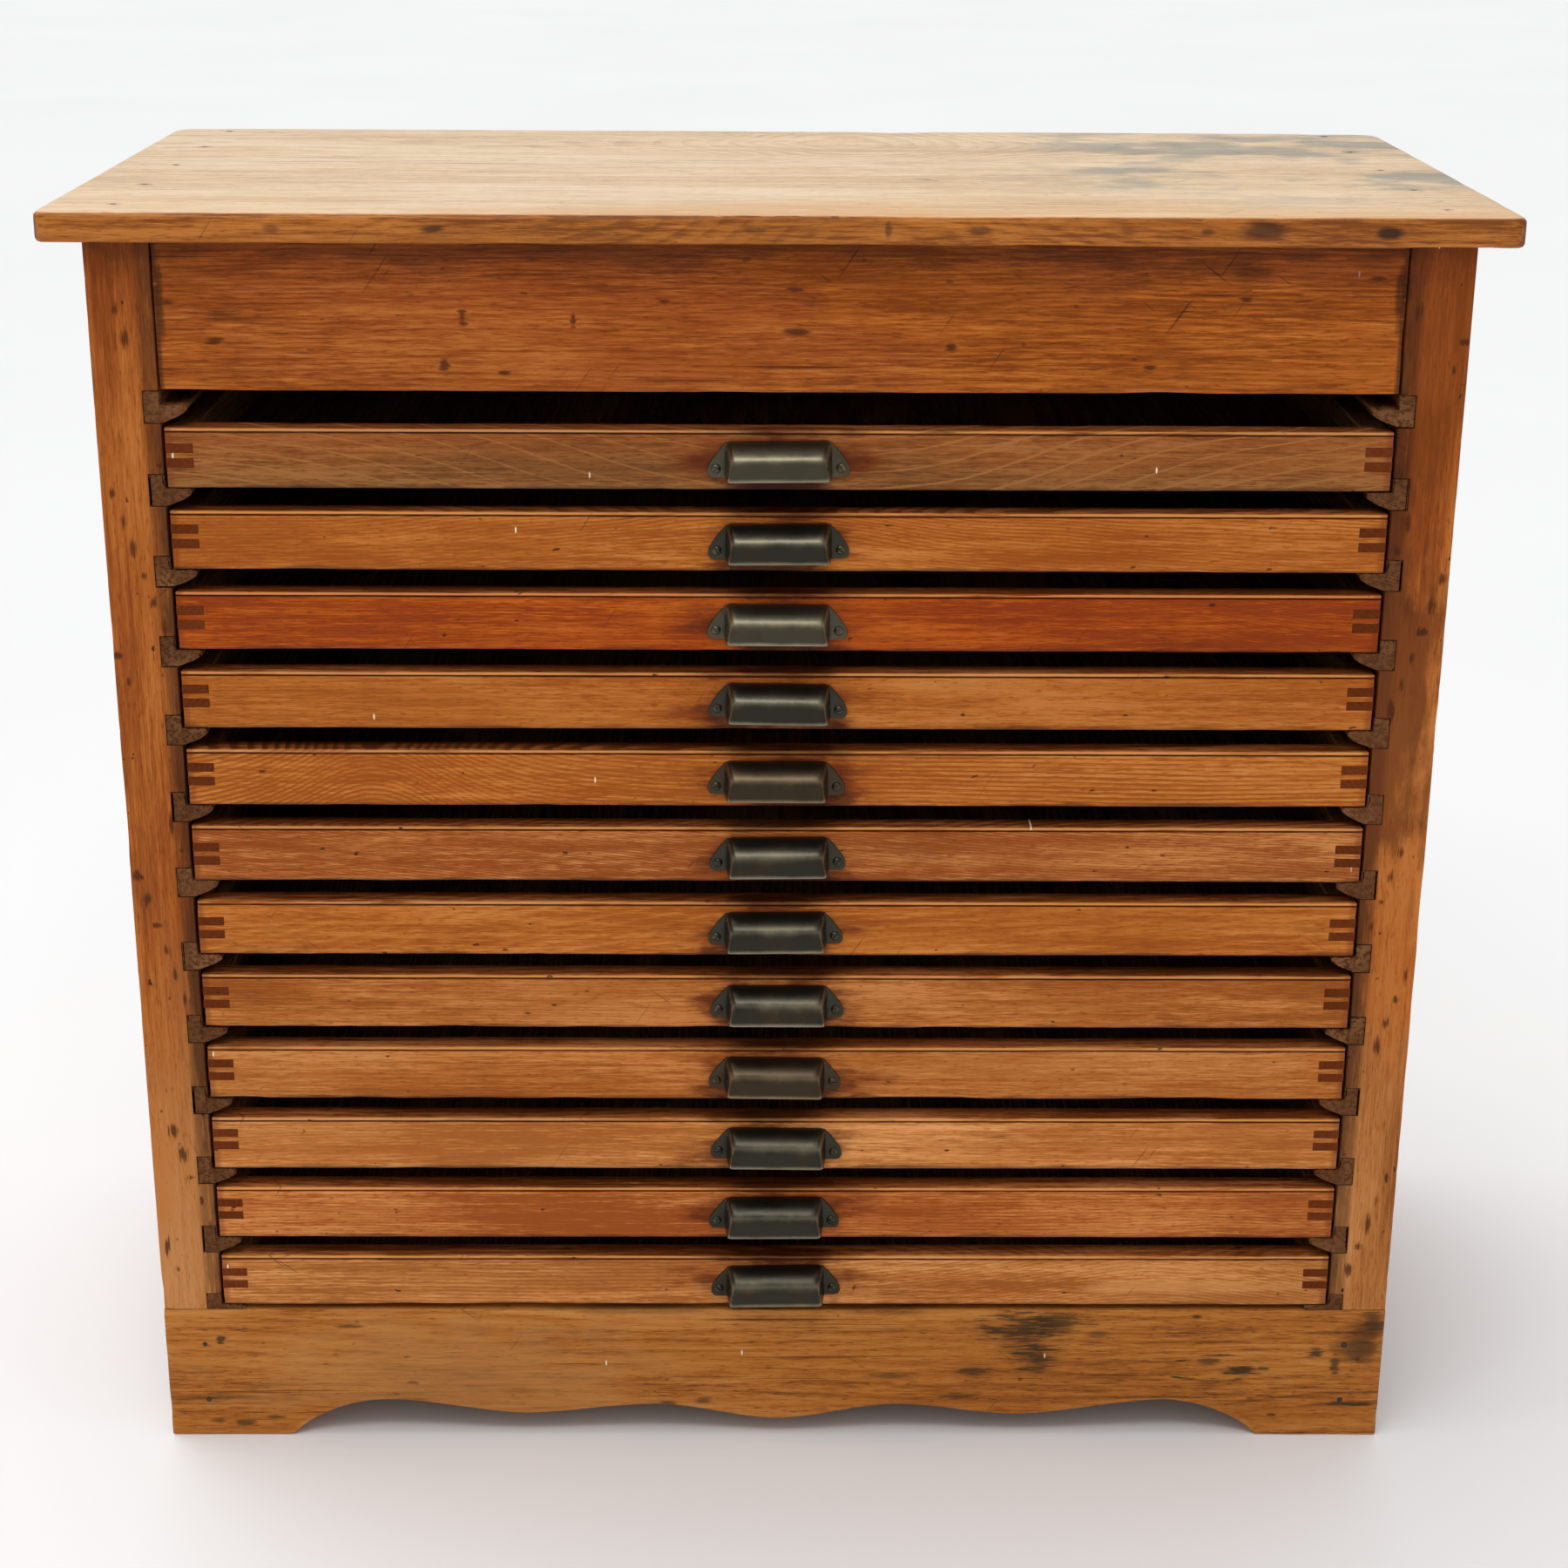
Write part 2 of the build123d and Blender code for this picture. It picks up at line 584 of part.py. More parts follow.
uncut_front = plain_front()
bare_side = plain_side()
back_and_floor = [tray_back(), tray_floor()]
pull_pieces = [cup_pull()] + pull_screws()
for number, (bottom, shift) in enumerate(zip(DRAWER_BOTTOMS, FINGER_SHIFTS), start=1):
    lift = Pos(0, 0, bottom)
    front, sides = jointed(uncut_front, bare_side, shift)
    save(f"drawer_{number:02d}_front", lift * front)
    save(f"drawer_{number:02d}_tray", [lift * piece for piece in sides + back_and_floor])
    save(f"drawer_{number:02d}_pull", [lift * piece for piece in pull_pieces])
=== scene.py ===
"""Looks of an old flat file cabinet: worn pine boards, waxed drawer fronts and blackened cup pulls.

Metres, in the frame's own axes: +X to the viewer's right, -Y towards the viewer, +Z up. Left and right
are the viewer's. Every board is lofted along its own grain, and its arrises are worn by seeded noise.
"""
import math

import bmesh
import bpy
from mathutils import Matrix, Vector, geometry, noise


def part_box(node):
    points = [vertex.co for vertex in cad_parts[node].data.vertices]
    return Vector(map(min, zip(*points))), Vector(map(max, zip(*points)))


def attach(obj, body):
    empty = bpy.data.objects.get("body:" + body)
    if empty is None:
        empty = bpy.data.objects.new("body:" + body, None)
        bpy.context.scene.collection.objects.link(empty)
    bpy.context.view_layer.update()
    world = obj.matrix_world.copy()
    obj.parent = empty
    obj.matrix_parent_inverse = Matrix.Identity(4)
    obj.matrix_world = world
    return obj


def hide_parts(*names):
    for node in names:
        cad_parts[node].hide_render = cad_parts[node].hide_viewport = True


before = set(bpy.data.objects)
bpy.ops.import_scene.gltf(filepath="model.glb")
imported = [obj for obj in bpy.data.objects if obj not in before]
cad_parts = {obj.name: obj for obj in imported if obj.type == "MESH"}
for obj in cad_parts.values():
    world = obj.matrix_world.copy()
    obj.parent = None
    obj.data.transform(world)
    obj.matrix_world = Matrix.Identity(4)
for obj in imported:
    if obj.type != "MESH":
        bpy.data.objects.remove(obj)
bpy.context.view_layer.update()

MM = 0.001
X, Y, Z = 0, 1, 2
DRAWERS = range(1, 13)


# ---------------------------------------------------------------- places, all from the frame
def drawer_name(number, part):
    return f"drawer_{number:02d}_{part}"


POST_LOW, POST_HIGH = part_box("front_left_post")
PLINTH_LOW, PLINTH_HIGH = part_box("plinth_board")
FRIEZE_LOW, FRIEZE_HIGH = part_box("frieze_board")
TOP_LOW, TOP_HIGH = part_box("top_board")
BACK_LOW, BACK_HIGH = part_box("back_left_post")
FRONT = PLINTH_LOW.y
CASE_HALF = -POST_LOW.x
OPENING = -POST_HIGH.x
CASE_TOP = POST_HIGH.z
LEVELS = [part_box(drawer_name(n, "front"))[0].z for n in DRAWERS]
PITCH = LEVELS[0] - LEVELS[1]
RUNNER_LEVELS = [LEVELS[0] + PITCH] + LEVELS
HALF_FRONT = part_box(drawer_name(1, "front"))[1].x

PANEL_LOW, PANEL_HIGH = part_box("left_side_panel")
PANEL_JOINT = (PANEL_LOW.y + PANEL_HIGH.y) / 2 + 23 * MM
BOARDS_LOW, BOARDS_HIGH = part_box("back_boards")
BOARD_COUNT = 6
BOARD_GAP = 0.6 * MM
BACK_RAILS = ("back_top_rail", "back_bottom_rail")

TOP_FRONT_RADIUS = 10 * MM
TOP_BACK_RADIUS = 26 * MM
# the plinth's lower edge, from its feet inward: (distance from the middle, height)
FOOT_WIDTH = 100 * MM
CRESTS = ((321 * MM, 33 * MM), (198 * MM, 20 * MM), (100 * MM, 29 * MM), (0.0, 15.6 * MM))

RUNNER_LEG = 12 * MM
RUNNER_RISE = 10 * MM
RUNNER_DROP = 14 * MM
RUNNER_PLAY = 0.4 * MM
TONGUE = 20 * MM
JOINT_GAP = 0.25 * MM

# where the nails are: how far in from an end or an edge, and their places along it
TOP_NAIL_IN = 22 * MM
TOP_NAIL_YS = (-0.226, -0.118, 0.002, 0.124, 0.238)
PLINTH_NAIL_IN = 32 * MM
PLINTH_NAIL_ZS = (0.034, 0.086)
BACK_NAIL_IN = 35 * MM
NAIL_RADIUS = 2.7 * MM

# how far a cutter reaches past the wood
PAST = 5 * MM

# a pull's reach from the wood, the height of its lip, half its width, its corners' radius, the thickness
# of its metal, and how far out and how high its screws are
PULL_REACH = 22 * MM
PULL_LIP = 10.5 * MM
PULL_HALF = 38.5 * MM
CUP_CORNER = 4.6 * MM
PULL_SHEET = 1.7 * MM
SCREW_OUT = 46 * MM
SCREW_HEIGHT = 16.7 * MM
# the hood in millimetres, from the wood down to the lip: (reach, height, half width)
HOOD = ((0.0, 37.0, 39.8), (4.0, 36.5, 38.9), (8.5, 34.8, 37.8), (12.6, 31.9, 36.9), (15.6, 28.9, 36.3),
        (17.4, 26.3, 36.0), (18.5, 23.6, 36.1), (19.4, 20.4, 36.5), (20.3, 17.0, 37.0), (21.2, 13.8, 37.6),
        (22.0, 10.5, 38.2))
# an ear in millimetres: (distance from the middle, height)
EAR_OUTLINE = ((36.7, 36.0), (38.5, 36.0), (44.5, 29.5), (49.6, 22.4), (52.0, 18.0), (52.4, 13.5),
               (50.6, 10.6), (47.5, 9.8), (36.7, 9.6))


# ---------------------------------------------------------------- mesh helpers
def grain_noise(point, scale, seed):
    """Seeded noise from -1 to 1 at a point, with a scale for each axis."""
    place = Vector((point[0] * scale[0], point[1] * scale[1], point[2] * scale[2]))
    return noise.noise(place + Vector((seed * 7.31, seed * 3.17, seed * 5.53)))


def rounded(points, radius, step):
    """A closed outline, counter-clockwise, with rounded corners and divided straights.

    Each point comes back as (a, b, edge), where edge is 1 on a corner and fades away from it.
    """
    count = len(points)
    radii = list(radius) if isinstance(radius, (list, tuple)) else [radius] * count
    outline = []
    for i in range(count):
        before, here, after = (Vector(points[(i + k) % count]) for k in (-1, 0, 1))
        sticks_out = (here - before).cross(after - here) > 0
        start = here + (before - here).normalized() * radii[i]
        end = here + (after - here).normalized() * radii[i]
        for t in (0.0, 0.3, 0.7, 1.0):
            bend = start * (1 - t) ** 2 + here * 2 * t * (1 - t) + end * t**2
            outline.append((bend.x, bend.y, 1.0 if sticks_out else 0.0))
        run = after + (here - after).normalized() * radii[(i + 1) % count] - end
        cuts = max(1, round(run.length / step))
        for k in range(1, cuts):
            place = end + run * (k / cuts)
            nearest = min(k, cuts - k) / cuts * run.length
            outline.append((place.x, place.y, math.exp(-nearest / (3 * MM))))
    return outline


def outline_normals(outline):
    """The outward direction at each outline point, and 0 where the outline turns inward, otherwise 1."""
    count = len(outline)
    normals = []
    for i in range(count):
        before, here, after = (Vector(outline[(i + k) % count][:2]) for k in (-1, 0, 1))
        tangent = (after - before).normalized()
        turn = (here - before).normalized().cross((after - here).normalized())
        normals.append((tangent.y, -tangent.x, 0.0 if turn < -0.05 else 1.0))
    return normals


def stations(span, step, reach):
    """Places along a board: close together within reach of its two ends, then evenly spaced."""
    near_end = [reach * share for share in (0.0, 0.04, 0.13, 0.25, 0.45, 0.7)]
    inner_low, inner_high = span[0] + reach, span[1] - reach
    count = max(2, round((inner_high - inner_low) / step))
    middle = [inner_low + (inner_high - inner_low) * k / count for k in range(count + 1)]
    return [span[0] + e for e in near_end] + middle + [span[1] - e for e in reversed(near_end)]


def placed(name, data):
    """A new object in the scene."""
    thing = bpy.data.objects.new(name, data)
    bpy.context.scene.collection.objects.link(thing)
    return thing


def finish_mesh(name, verts, faces, wear, angle=38):
    """Makes an object from plain lists, with smooth faces, sharp arrises and a wear value for each point."""
    mesh = bpy.data.meshes.new(name)
    mesh.from_pydata(verts, [], faces)
    mesh.attributes.new("wear", "FLOAT", "POINT").data.foreach_set("value", wear)
    mesh.validate()
    shade(mesh, angle)
    return placed(name, mesh)


def shade(mesh, angle=38):
    """Smooth faces with sharp arrises, apart from many-sided faces, which are flat."""
    mesh.polygons.foreach_set("use_smooth", [len(face.vertices) <= 6 for face in mesh.polygons])
    mesh.set_sharp_from_angle(angle=math.radians(angle))


def board(name, along, outline, span, step=8 * MM, end_radius=1.2 * MM, reach=None, wear=0.8 * MM,
          bow=0.25 * MM, shape=None, seed=0.0, chips=14.0):
    """A board lofted along one axis from an outline across it.

    wear is how deep the arrises are knocked in, bow how far the faces wander, and shape(place, a, b)
    may move an outline point at each place along the board. chips is how many dings there are a metre.
    """
    a_axis, b_axis = (along + 1) % 3, (along + 2) % 3
    normals = outline_normals(outline)
    places = stations(span, step, reach or 4 * end_radius)
    scale = [30.0, 30.0, 30.0]
    scale[along] = chips
    verts, worn = [], []
    # one more ring lies flat inside each end, so that the ends stay crisp
    rings = [(places[0], 0.7 * MM)] + [(place, 0.0) for place in places] + [(places[-1], 0.7 * MM)]
    for place, shrink in rings:
        from_end = min(place - span[0], span[1] - place)
        inset = shrink
        if from_end < end_radius:
            inset += end_radius - math.sqrt(end_radius**2 - (end_radius - from_end) ** 2)
        end_edge = math.exp(-from_end / (3 * MM))
        for (a, b, edge), (na, nb, convex) in zip(outline, normals):
            if shape:
                a, b = shape(place, a, b)
            point = [0.0, 0.0, 0.0]
            point[along], point[a_axis], point[b_axis] = place, a, b
            rough = grain_noise(point, scale, seed)
            fine = grain_noise(point, [s * 5 for s in scale], seed + 2)
            ding = max(0.0, rough - 0.12) * 1.6 + max(0.0, fine - 0.25) * 0.5
            weight = max(edge, end_edge) * convex
            depth = convex * inset + wear * weight * (0.25 + ding)
            depth += bow * grain_noise(point, (2.6, 2.6, 2.6), seed + 5)
            depth += 0.25 * bow * grain_noise(point, (22.0, 22.0, 22.0), seed + 9)
            point[a_axis] -= na * depth
            point[b_axis] -= nb * depth
            push = wear * 0.6 * end_edge * ding
            point[along] += push if place - span[0] < span[1] - place else -push
            verts.append(point)
            worn.append(min(1.0, weight * (0.25 + 1.5 * ding)))
    count = len(outline)
    faces = []
    for i in range(len(rings) - 1):
        for k in range(count):
            j = (k + 1) % count
            faces.append((i * count + k, i * count + j, (i + 1) * count + j, (i + 1) * count + k))
    last = (len(rings) - 1) * count
    for corners in geometry.tessellate_polygon([[Vector((a, b, 0.0)) for a, b, _ in outline]]):
        # in outline order, even the thinnest triangle is turned the same way as the others
        first, second, third = sorted(corners)
        faces.append((third, second, first))
        faces.append((last + first, last + second, last + third))
    return finish_mesh(name, verts, faces, worn)


def plank(name, along, low, high, arris=1.5 * MM, across=9 * MM, **more):
    """A plain rectangular board between two corners."""
    a, b = (along + 1) % 3, (along + 2) % 3
    corners = [(low[a], low[b]), (high[a], low[b]), (high[a], high[b]), (low[a], high[b])]
    return board(name, along, rounded(corners, arris, across), (low[along], high[along]), **more)


def cut(piece, boxes):
    """Cuts real notches, given as (low, high) corners, out of a piece."""
    cutter_mesh = bpy.data.meshes.new("cutter")
    bm = bmesh.new()
    for low, high in boxes:
        low, high = Vector(low), Vector(high)
        size = high - low
        place = Matrix.Translation((low + high) / 2) @ Matrix.Diagonal((size.x, size.y, size.z, 1.0))
        bmesh.ops.create_cube(bm, size=1.0, matrix=place)
    bm.to_mesh(cutter_mesh)
    bm.free()
    cutter = placed("cutter", cutter_mesh)
    modifier = piece.modifiers.new("notches", "BOOLEAN")
    modifier.operation = "DIFFERENCE"
    modifier.solver = "MANIFOLD"
    modifier.object = cutter
    keep_result(piece)
    bpy.data.objects.remove(cutter)
    bpy.data.meshes.remove(cutter_mesh)


def keep_result(piece):
    """Applies all of a piece's modifiers to its mesh."""
    depsgraph = bpy.context.evaluated_depsgraph_get()
    result = bpy.data.meshes.new_from_object(piece.evaluated_get(depsgraph))
    piece.modifiers.clear()
    piece.data = result
    shade(result)


def joined(name, parts):
    """One object from several, with all their faces and wear values."""
    bm = bmesh.new()
    for part in parts:
        bm.from_mesh(part.data)
        bpy.data.objects.remove(part)
    mesh = bpy.data.meshes.new(name)
    bm.to_mesh(mesh)
    bm.free()
    shade(mesh)
    return placed(name, mesh)


# ---------------------------------------------------------------- node helpers
def srgb(red, green, blue):
    """A colour as it is seen, 0 to 255, turned into the linear values that shaders take."""
    def linear(value):
        value /= 255
        return value / 12.92 if value <= 0.04045 else ((value + 0.055) / 1.055) ** 2.4
    return (linear(red), linear(green), linear(blue), 1.0)


class Field:
    """A number, or a vector, that a shader works out at each point. Arithmetic on it adds nodes."""

    def __init__(self, shader, socket, kind="ShaderNodeMath"):
        self.shader = shader
        self.socket = socket
        self.kind = kind

    def work(self, operation, *values, clamp=False):
        node = self.shader.add(self.kind)
        node.operation = operation
        if clamp:
            node.use_clamp = True
        for socket, value in zip(node.inputs, values):
            self.shader.feed(socket, value)
        return Field(self.shader, node.outputs[0], self.kind)

    def __add__(self, other):
        return self.work("ADD", self, other)

    def __sub__(self, other):
        return self.work("SUBTRACT", self, other)

    def __mul__(self, other):
        return self.work("MULTIPLY", self, other)

    def __truediv__(self, other):
        return self.work("DIVIDE", self, other)

    def __abs__(self):
        return self.of("ABSOLUTE")

    def of(self, operation):
        return self.work(operation, self)

    def most(self, other):
        return self.work("MAXIMUM", self, other)

    def clamped(self):
        return self.work("ADD", self, 0.0, clamp=True)

    def length(self):
        return Field(self.shader, self.of("LENGTH").socket.node.outputs["Value"])

    def split(self):
        """The three numbers of a vector or a colour."""
        node = self.shader.add("ShaderNodeSeparateXYZ")
        self.shader.feed(node.inputs[0], self)
        return [Field(self.shader, socket) for socket in node.outputs]

    def steps(self, low, high):
        """0 below low, 1 above high, smooth between."""
        node = self.shader.add("ShaderNodeMapRange")
        node.interpolation_type = "SMOOTHSTEP"
        self.shader.feed(node.inputs["Value"], self)
        node.inputs["From Min"].default_value = low
        node.inputs["From Max"].default_value = high
        return Field(self.shader, node.outputs["Result"])


class Shader:
    """Builds one material. Each method adds a node and returns what it gives."""

    def __init__(self, name):
        self.material = bpy.data.materials.new(name)
        self.material.use_nodes = True
        self.tree = self.material.node_tree
        self.tree.nodes.clear()
        self.surface = self.add("ShaderNodeBsdfPrincipled")
        out = self.add("ShaderNodeOutputMaterial")
        self.tree.links.new(self.surface.outputs[0], out.inputs[0])
        coordinates = self.add("ShaderNodeTexCoord")
        self.here = self.vector(coordinates.outputs["Object"])
        self.normal = self.vector(coordinates.outputs["Normal"])

    def add(self, kind):
        return self.tree.nodes.new(kind)

    def vector(self, socket):
        return Field(self, socket, "ShaderNodeVectorMath")

    def feed(self, socket, value):
        """Links a field to a socket, or sets a plain value on it."""
        if isinstance(value, Field):
            self.tree.links.new(value.socket, socket)
        else:
            socket.default_value = value

    def give(self, **inputs):
        """Sets the surface's own inputs, with _ for a space in a name."""
        for name, value in inputs.items():
            self.feed(self.surface.inputs[name.replace("_", " ")], value)

    def combine(self, *numbers):
        node = self.add("ShaderNodeCombineXYZ")
        for socket, value in zip(node.inputs, numbers):
            self.feed(socket, value)
        return self.vector(node.outputs[0])

    def noise(self, where, detail=2.0, rough=0.5, colour=False):
        """Smooth noise round 0.5, with lumps about 1 across: a number, or a vector of three."""
        node = self.add("ShaderNodeTexNoise")
        self.feed(node.inputs["Vector"], where)
        node.inputs["Scale"].default_value = 1.0
        node.inputs["Detail"].default_value = detail
        node.inputs["Roughness"].default_value = rough
        return self.vector(node.outputs["Color"]) if colour else Field(self, node.outputs["Fac"])

    def ramp(self, factor, stops):
        node = self.add("ShaderNodeValToRGB")
        self.feed(node.inputs[0], factor)
        elements = node.color_ramp.elements
        while len(elements) < len(stops):
            elements.new(0.5)
        for element, (place, colour) in zip(elements, stops):
            element.position = place
            element.color = colour
        return Field(self, node.outputs[0])

    def blend(self, factor, first, second, mode="MIX"):
        node = self.add("ShaderNodeMix")
        node.data_type = "RGBA"
        node.blend_type = mode
        self.feed(node.inputs["Factor"], factor)
        self.feed(node.inputs["A"], first)
        self.feed(node.inputs["B"], second)
        return Field(self, node.outputs["Result"])

    def bump(self, height, distance, strength):
        node = self.add("ShaderNodeBump")
        node.inputs["Strength"].default_value = strength
        node.inputs["Distance"].default_value = distance
        self.feed(node.inputs["Height"], height)
        return Field(self, node.outputs[0])

    def wear(self):
        """How worn a piece's mesh is at a point; on a pull's cup the value also holds a painted highlight."""
        node = self.add("ShaderNodeAttribute")
        node.attribute_name = "wear"
        return Field(self, node.outputs["Fac"])


# ---------------------------------------------------------------- wood
# Each kind of wood as it looks in the light: (darkest, dark, middle, light, lightest).
HONEY = ((142, 75, 28), (157, 88, 34), (166, 97, 39), (174, 106, 48), (182, 117, 59))
RED = ((126, 52, 12), (139, 60, 16), (151, 69, 20), (161, 77, 24), (171, 88, 31))
RUSSET = ((104, 52, 20), (124, 66, 27), (140, 79, 34), (154, 92, 42), (170, 108, 55))
GREY_BROWN = ((105, 60, 30), (121, 69, 34), (133, 76, 36), (142, 85, 43), (152, 96, 52))
DULL_GOLD = ((136, 74, 30), (151, 86, 36), (160, 95, 44), (170, 105, 52), (186, 122, 68))
ROSY = ((132, 68, 29), (146, 81, 38), (157, 93, 47), (169, 108, 57), (186, 123, 71))
PALE_GOLD = ((136, 80, 38), (151, 94, 47), (160, 103, 55), (170, 113, 62), (186, 130, 80))
OLIVE = ((92, 57, 30), (108, 67, 35), (120, 75, 39), (129, 84, 45), (140, 95, 53))
FRIEZE = ((108, 54, 22), (130, 65, 26), (142, 73, 30), (154, 84, 36), (168, 100, 46))
FRIEZE_LOWER = ((118, 58, 18), (142, 74, 26), (156, 84, 31), (168, 95, 37), (180, 110, 48))
POST_RED = ((112, 57, 22), (130, 67, 28), (143, 77, 33), (158, 90, 38), (172, 105, 51))
POST_GOLD = ((128, 76, 38), (155, 95, 48), (167, 108, 58), (175, 117, 66), (184, 128, 79))
PLINTH = ((94, 58, 30), (138, 81, 35), (153, 96, 42), (161, 106, 53), (169, 115, 63))
TOP_FACE = ((188, 158, 122), (212, 180, 140), (221, 190, 150), (228, 200, 164), (234, 210, 178))
TOP_EDGE = ((119, 64, 22), (144, 82, 28), (157, 92, 34), (167, 101, 39), (178, 111, 47))
BARE = ((92, 60, 36), (118, 80, 48), (134, 94, 58), (148, 108, 70), (164, 124, 86))
FRONT_TOP = ((88, 46, 24), (112, 60, 30), (130, 72, 38), (146, 86, 48), (164, 104, 62))
FINGER_END = ((62, 30, 15), (84, 40, 20), (98, 47, 24), (108, 56, 29), (124, 68, 38))
RUNNER_END = ((50, 30, 18), (70, 43, 27), (88, 55, 34), (104, 67, 42), (126, 87, 57))
DARK_END = ((58, 33, 19), (80, 47, 27), (98, 60, 34), (114, 73, 43), (138, 94, 60))
GAIN = 1.30
SHEEN = 0.005


def seen(*tone):
    """A colour as it looks in this scene's light, turned into the surface's own colour under its sheen."""
    return tuple(max(0.002, part - SHEEN) * GAIN for part in srgb(*tone)[:3]) + (1.0,)


# dark dirt, also used as painted shade: in the drawers' quirks, under the top's overhang and under the pulls
GRIME_AND_SHADE = seen(48, 28, 16)
SCAR = seen(60, 46, 29)
DENT = seen(66, 34, 18)
# painted shade, for the right-hand post
PAINTED_SHADE = seen(96, 50, 25)
RED_HALO = seen(104, 44, 18)
INK = seen(112, 116, 108)
TOP_WARM = seen(196, 150, 100)
PLINTH_PALE = seen(172, 122, 72)
# pale worn wood, also used as a painted highlight along the drawers' beads
PALE_WEAR_AND_HIGHLIGHT = seen(196, 136, 82)
DRIED_PAINT = seen(225, 212, 190)
RUDDY_FILTER = (0.95, 0.76, 0.55, 1.0)


def tone_stops(tones, gain=1.0):
    """Colour stops for one kind of wood, from its darkest at 0 to its lightest at 1."""
    stops = []
    for place, tone in zip((0.08, 0.33, 0.5, 0.67, 0.92), tones):
        red, green, blue, _ = seen(*tone)
        stops.append((place, (red * gain, green * gain, blue * gain, 1.0)))
    return stops


class Grain:
    """Old waxed wood, solid through the board, with its grain along one axis.

    ring is the width of a year's growth, rings how dark its late wood is, heart where the log's centre is
    across the grain, and wave how much it wanders. arch is (place, slope, reach): the grain runs out in
    arches that are centred on that place along the board and die away beyond the reach. thin_lines draws
    each year as a fine line. boards is (axis, first edge, width) where several boards lie edge to edge.
    """

    def __init__(self, s, along, seed, ring=2.6 * MM, rings=0.35, heart=(0.05, -0.09), arch=(0.0, 0.0, 0.1),
                 wave=9 * MM, thin_lines=False, boards=None):
        self.s = s
        self.parts = s.here.split()
        self.along_grain = self.parts[along]
        shift = (seed * 1.71, seed * 0.93, seed * 0.37)
        self.place = s.combine(*(self.parts[(along + k) % 3] for k in range(3))) + shift
        self.middle_tone = 0.5
        if boards:
            axis, first, width = boards
            number = ((self.parts[axis] - first) / width).of("FLOOR")
            self.place = self.place + s.combine(number, number, number) * (3.71, 0.013, 0.009)
            self.middle_tone = (number * 2.3).of("SINE") * 0.16 + 0.5
        self.slow = self.noise(3.0, 11.0, detail=3.0, rough=0.55)
        self.streak = self.noise(3.5, 75.0)
        self.coarse = self.noise(13.0, 320.0, detail=3.0, rough=0.6)
        self.fine = self.noise(60.0, 950.0, rough=0.6)
        self.pores = self.noise(110.0, 820.0, detail=1.5).steps(0.58, 0.72)
        self.ragged = self.noise(18.0, 60.0, detail=4.0, rough=0.6)
        heart_place = (0.0, heart[0] + shift[1], heart[1] + shift[2])
        self.late = self.late_wood(ring, rings, heart_place, arch, wave, 0.84 if thin_lines else 0.30)

    def noise(self, grain, across, detail=2.0, rough=0.5):
        """Noise with so many lumps a metre along the grain and across it."""
        return self.s.noise(self.place * (grain, across, across), detail, rough)

    def late_wood(self, ring, rings, heart, arch, wave, start):
        """How dark the wood is with the late growth of each year, from 0 to rings."""
        wander = self.s.noise(self.place * (2.4, 8.0, 8.0), detail=2.5, colour=True) - (0.5, 0.5, 0.5)
        from_heart = (self.place + wander * (0.0, 3 * wave, 3 * wave) - heart) * (0.0, 1.0, 1.0)
        place, slope, reach = arch
        square = (self.along_grain - place) * (self.along_grain - place)
        rise = square / (square + reach**2)
        radius = rise * (slope * reach) + from_heart.length()
        year = (radius / ring).of("FRACT")
        patchy = self.noise(2.2, 26.0).steps(0.36, 0.62) * 0.6 + 0.4
        return year.steps(start, 0.90) * year.steps(1.0, 0.93) * patchy * rings

    def tone(self, fibre, blotch, flecks):
        """From the darkest wood at 0 to the lightest at 1."""
        tone = (self.slow - 0.5) * (4.0 * blotch) + self.middle_tone
        lively = self.noise(5.0, 40.0) * 2.4 - 0.2
        for lumps, amount in ((self.streak, 0.6), (self.coarse, 1.3), (self.fine, 1.3)):
            tone = (lumps - 0.5) * lively * (amount * fibre) + tone
        return (tone - self.late - self.pores * (0.5 * flecks)).clamped()


# Each mask is 1 where a mark is and 0 elsewhere.
def from_centre(s, centre, size):
    """0 at the centre of an ellipsoid in the piece's own space, and 1 on its surface."""
    return ((s.here - tuple(centre)) / tuple(size)).length()


def spot_mask(s, grain, centre, size):
    """A stain with a ragged rim."""
    return (from_centre(s, centre, size) - (grain.ragged - 0.5) * 2.4).steps(1.15, 0.35)


def scar_mask(s, grain, centre, size):
    """A torn and mottled place."""
    torn = from_centre(s, centre, size)
    for lumps, amount in ((grain.ragged, 2.2), (grain.coarse, 2.0), (grain.fine, 2.6)):
        torn = torn - (lumps - 0.5) * amount
    return torn.steps(1.15, 0.35)


def knot_mask(s, grain, centre, size):
    """The thin rim of a knot, broken up here and there."""
    uneven = from_centre(s, centre, size) + (grain.ragged - 0.5) * 0.8
    return abs(uneven - 1.0).steps(0.14, 0.04) * grain.coarse.steps(0.44, 0.58)


def line_mask(s, grain, axis, place, half_width):
    """A thin band across one axis, broken up here and there."""
    away = abs(grain.parts[axis] - place)
    return away.steps(1.5 * half_width, 0.5 * half_width) * grain.coarse.steps(0.30, 0.48)


def scratch_mask(s, grain):
    """Short scratches at a few angles across the grain, in a few places only."""
    lines = []
    for turn in ((0.0, 0.5, 0.6), (0.0, -0.8, -0.7), (0.0, 1.2, 1.1)):
        turned = s.add("ShaderNodeMapping")
        turned.vector_type = "TEXTURE"
        s.feed(turned.inputs["Vector"], grain.place)
        turned.inputs["Rotation"].default_value = turn
        turned.inputs["Scale"].default_value = (1 / 380, 1 / 15, 1 / 15)
        lines.append(s.noise(s.vector(turned.outputs[0]), detail=1.0).steps(0.735, 0.775))
    return lines[0].most(lines[1]).most(lines[2]) * grain.noise(11.0, 17.0).steps(0.50, 0.62)


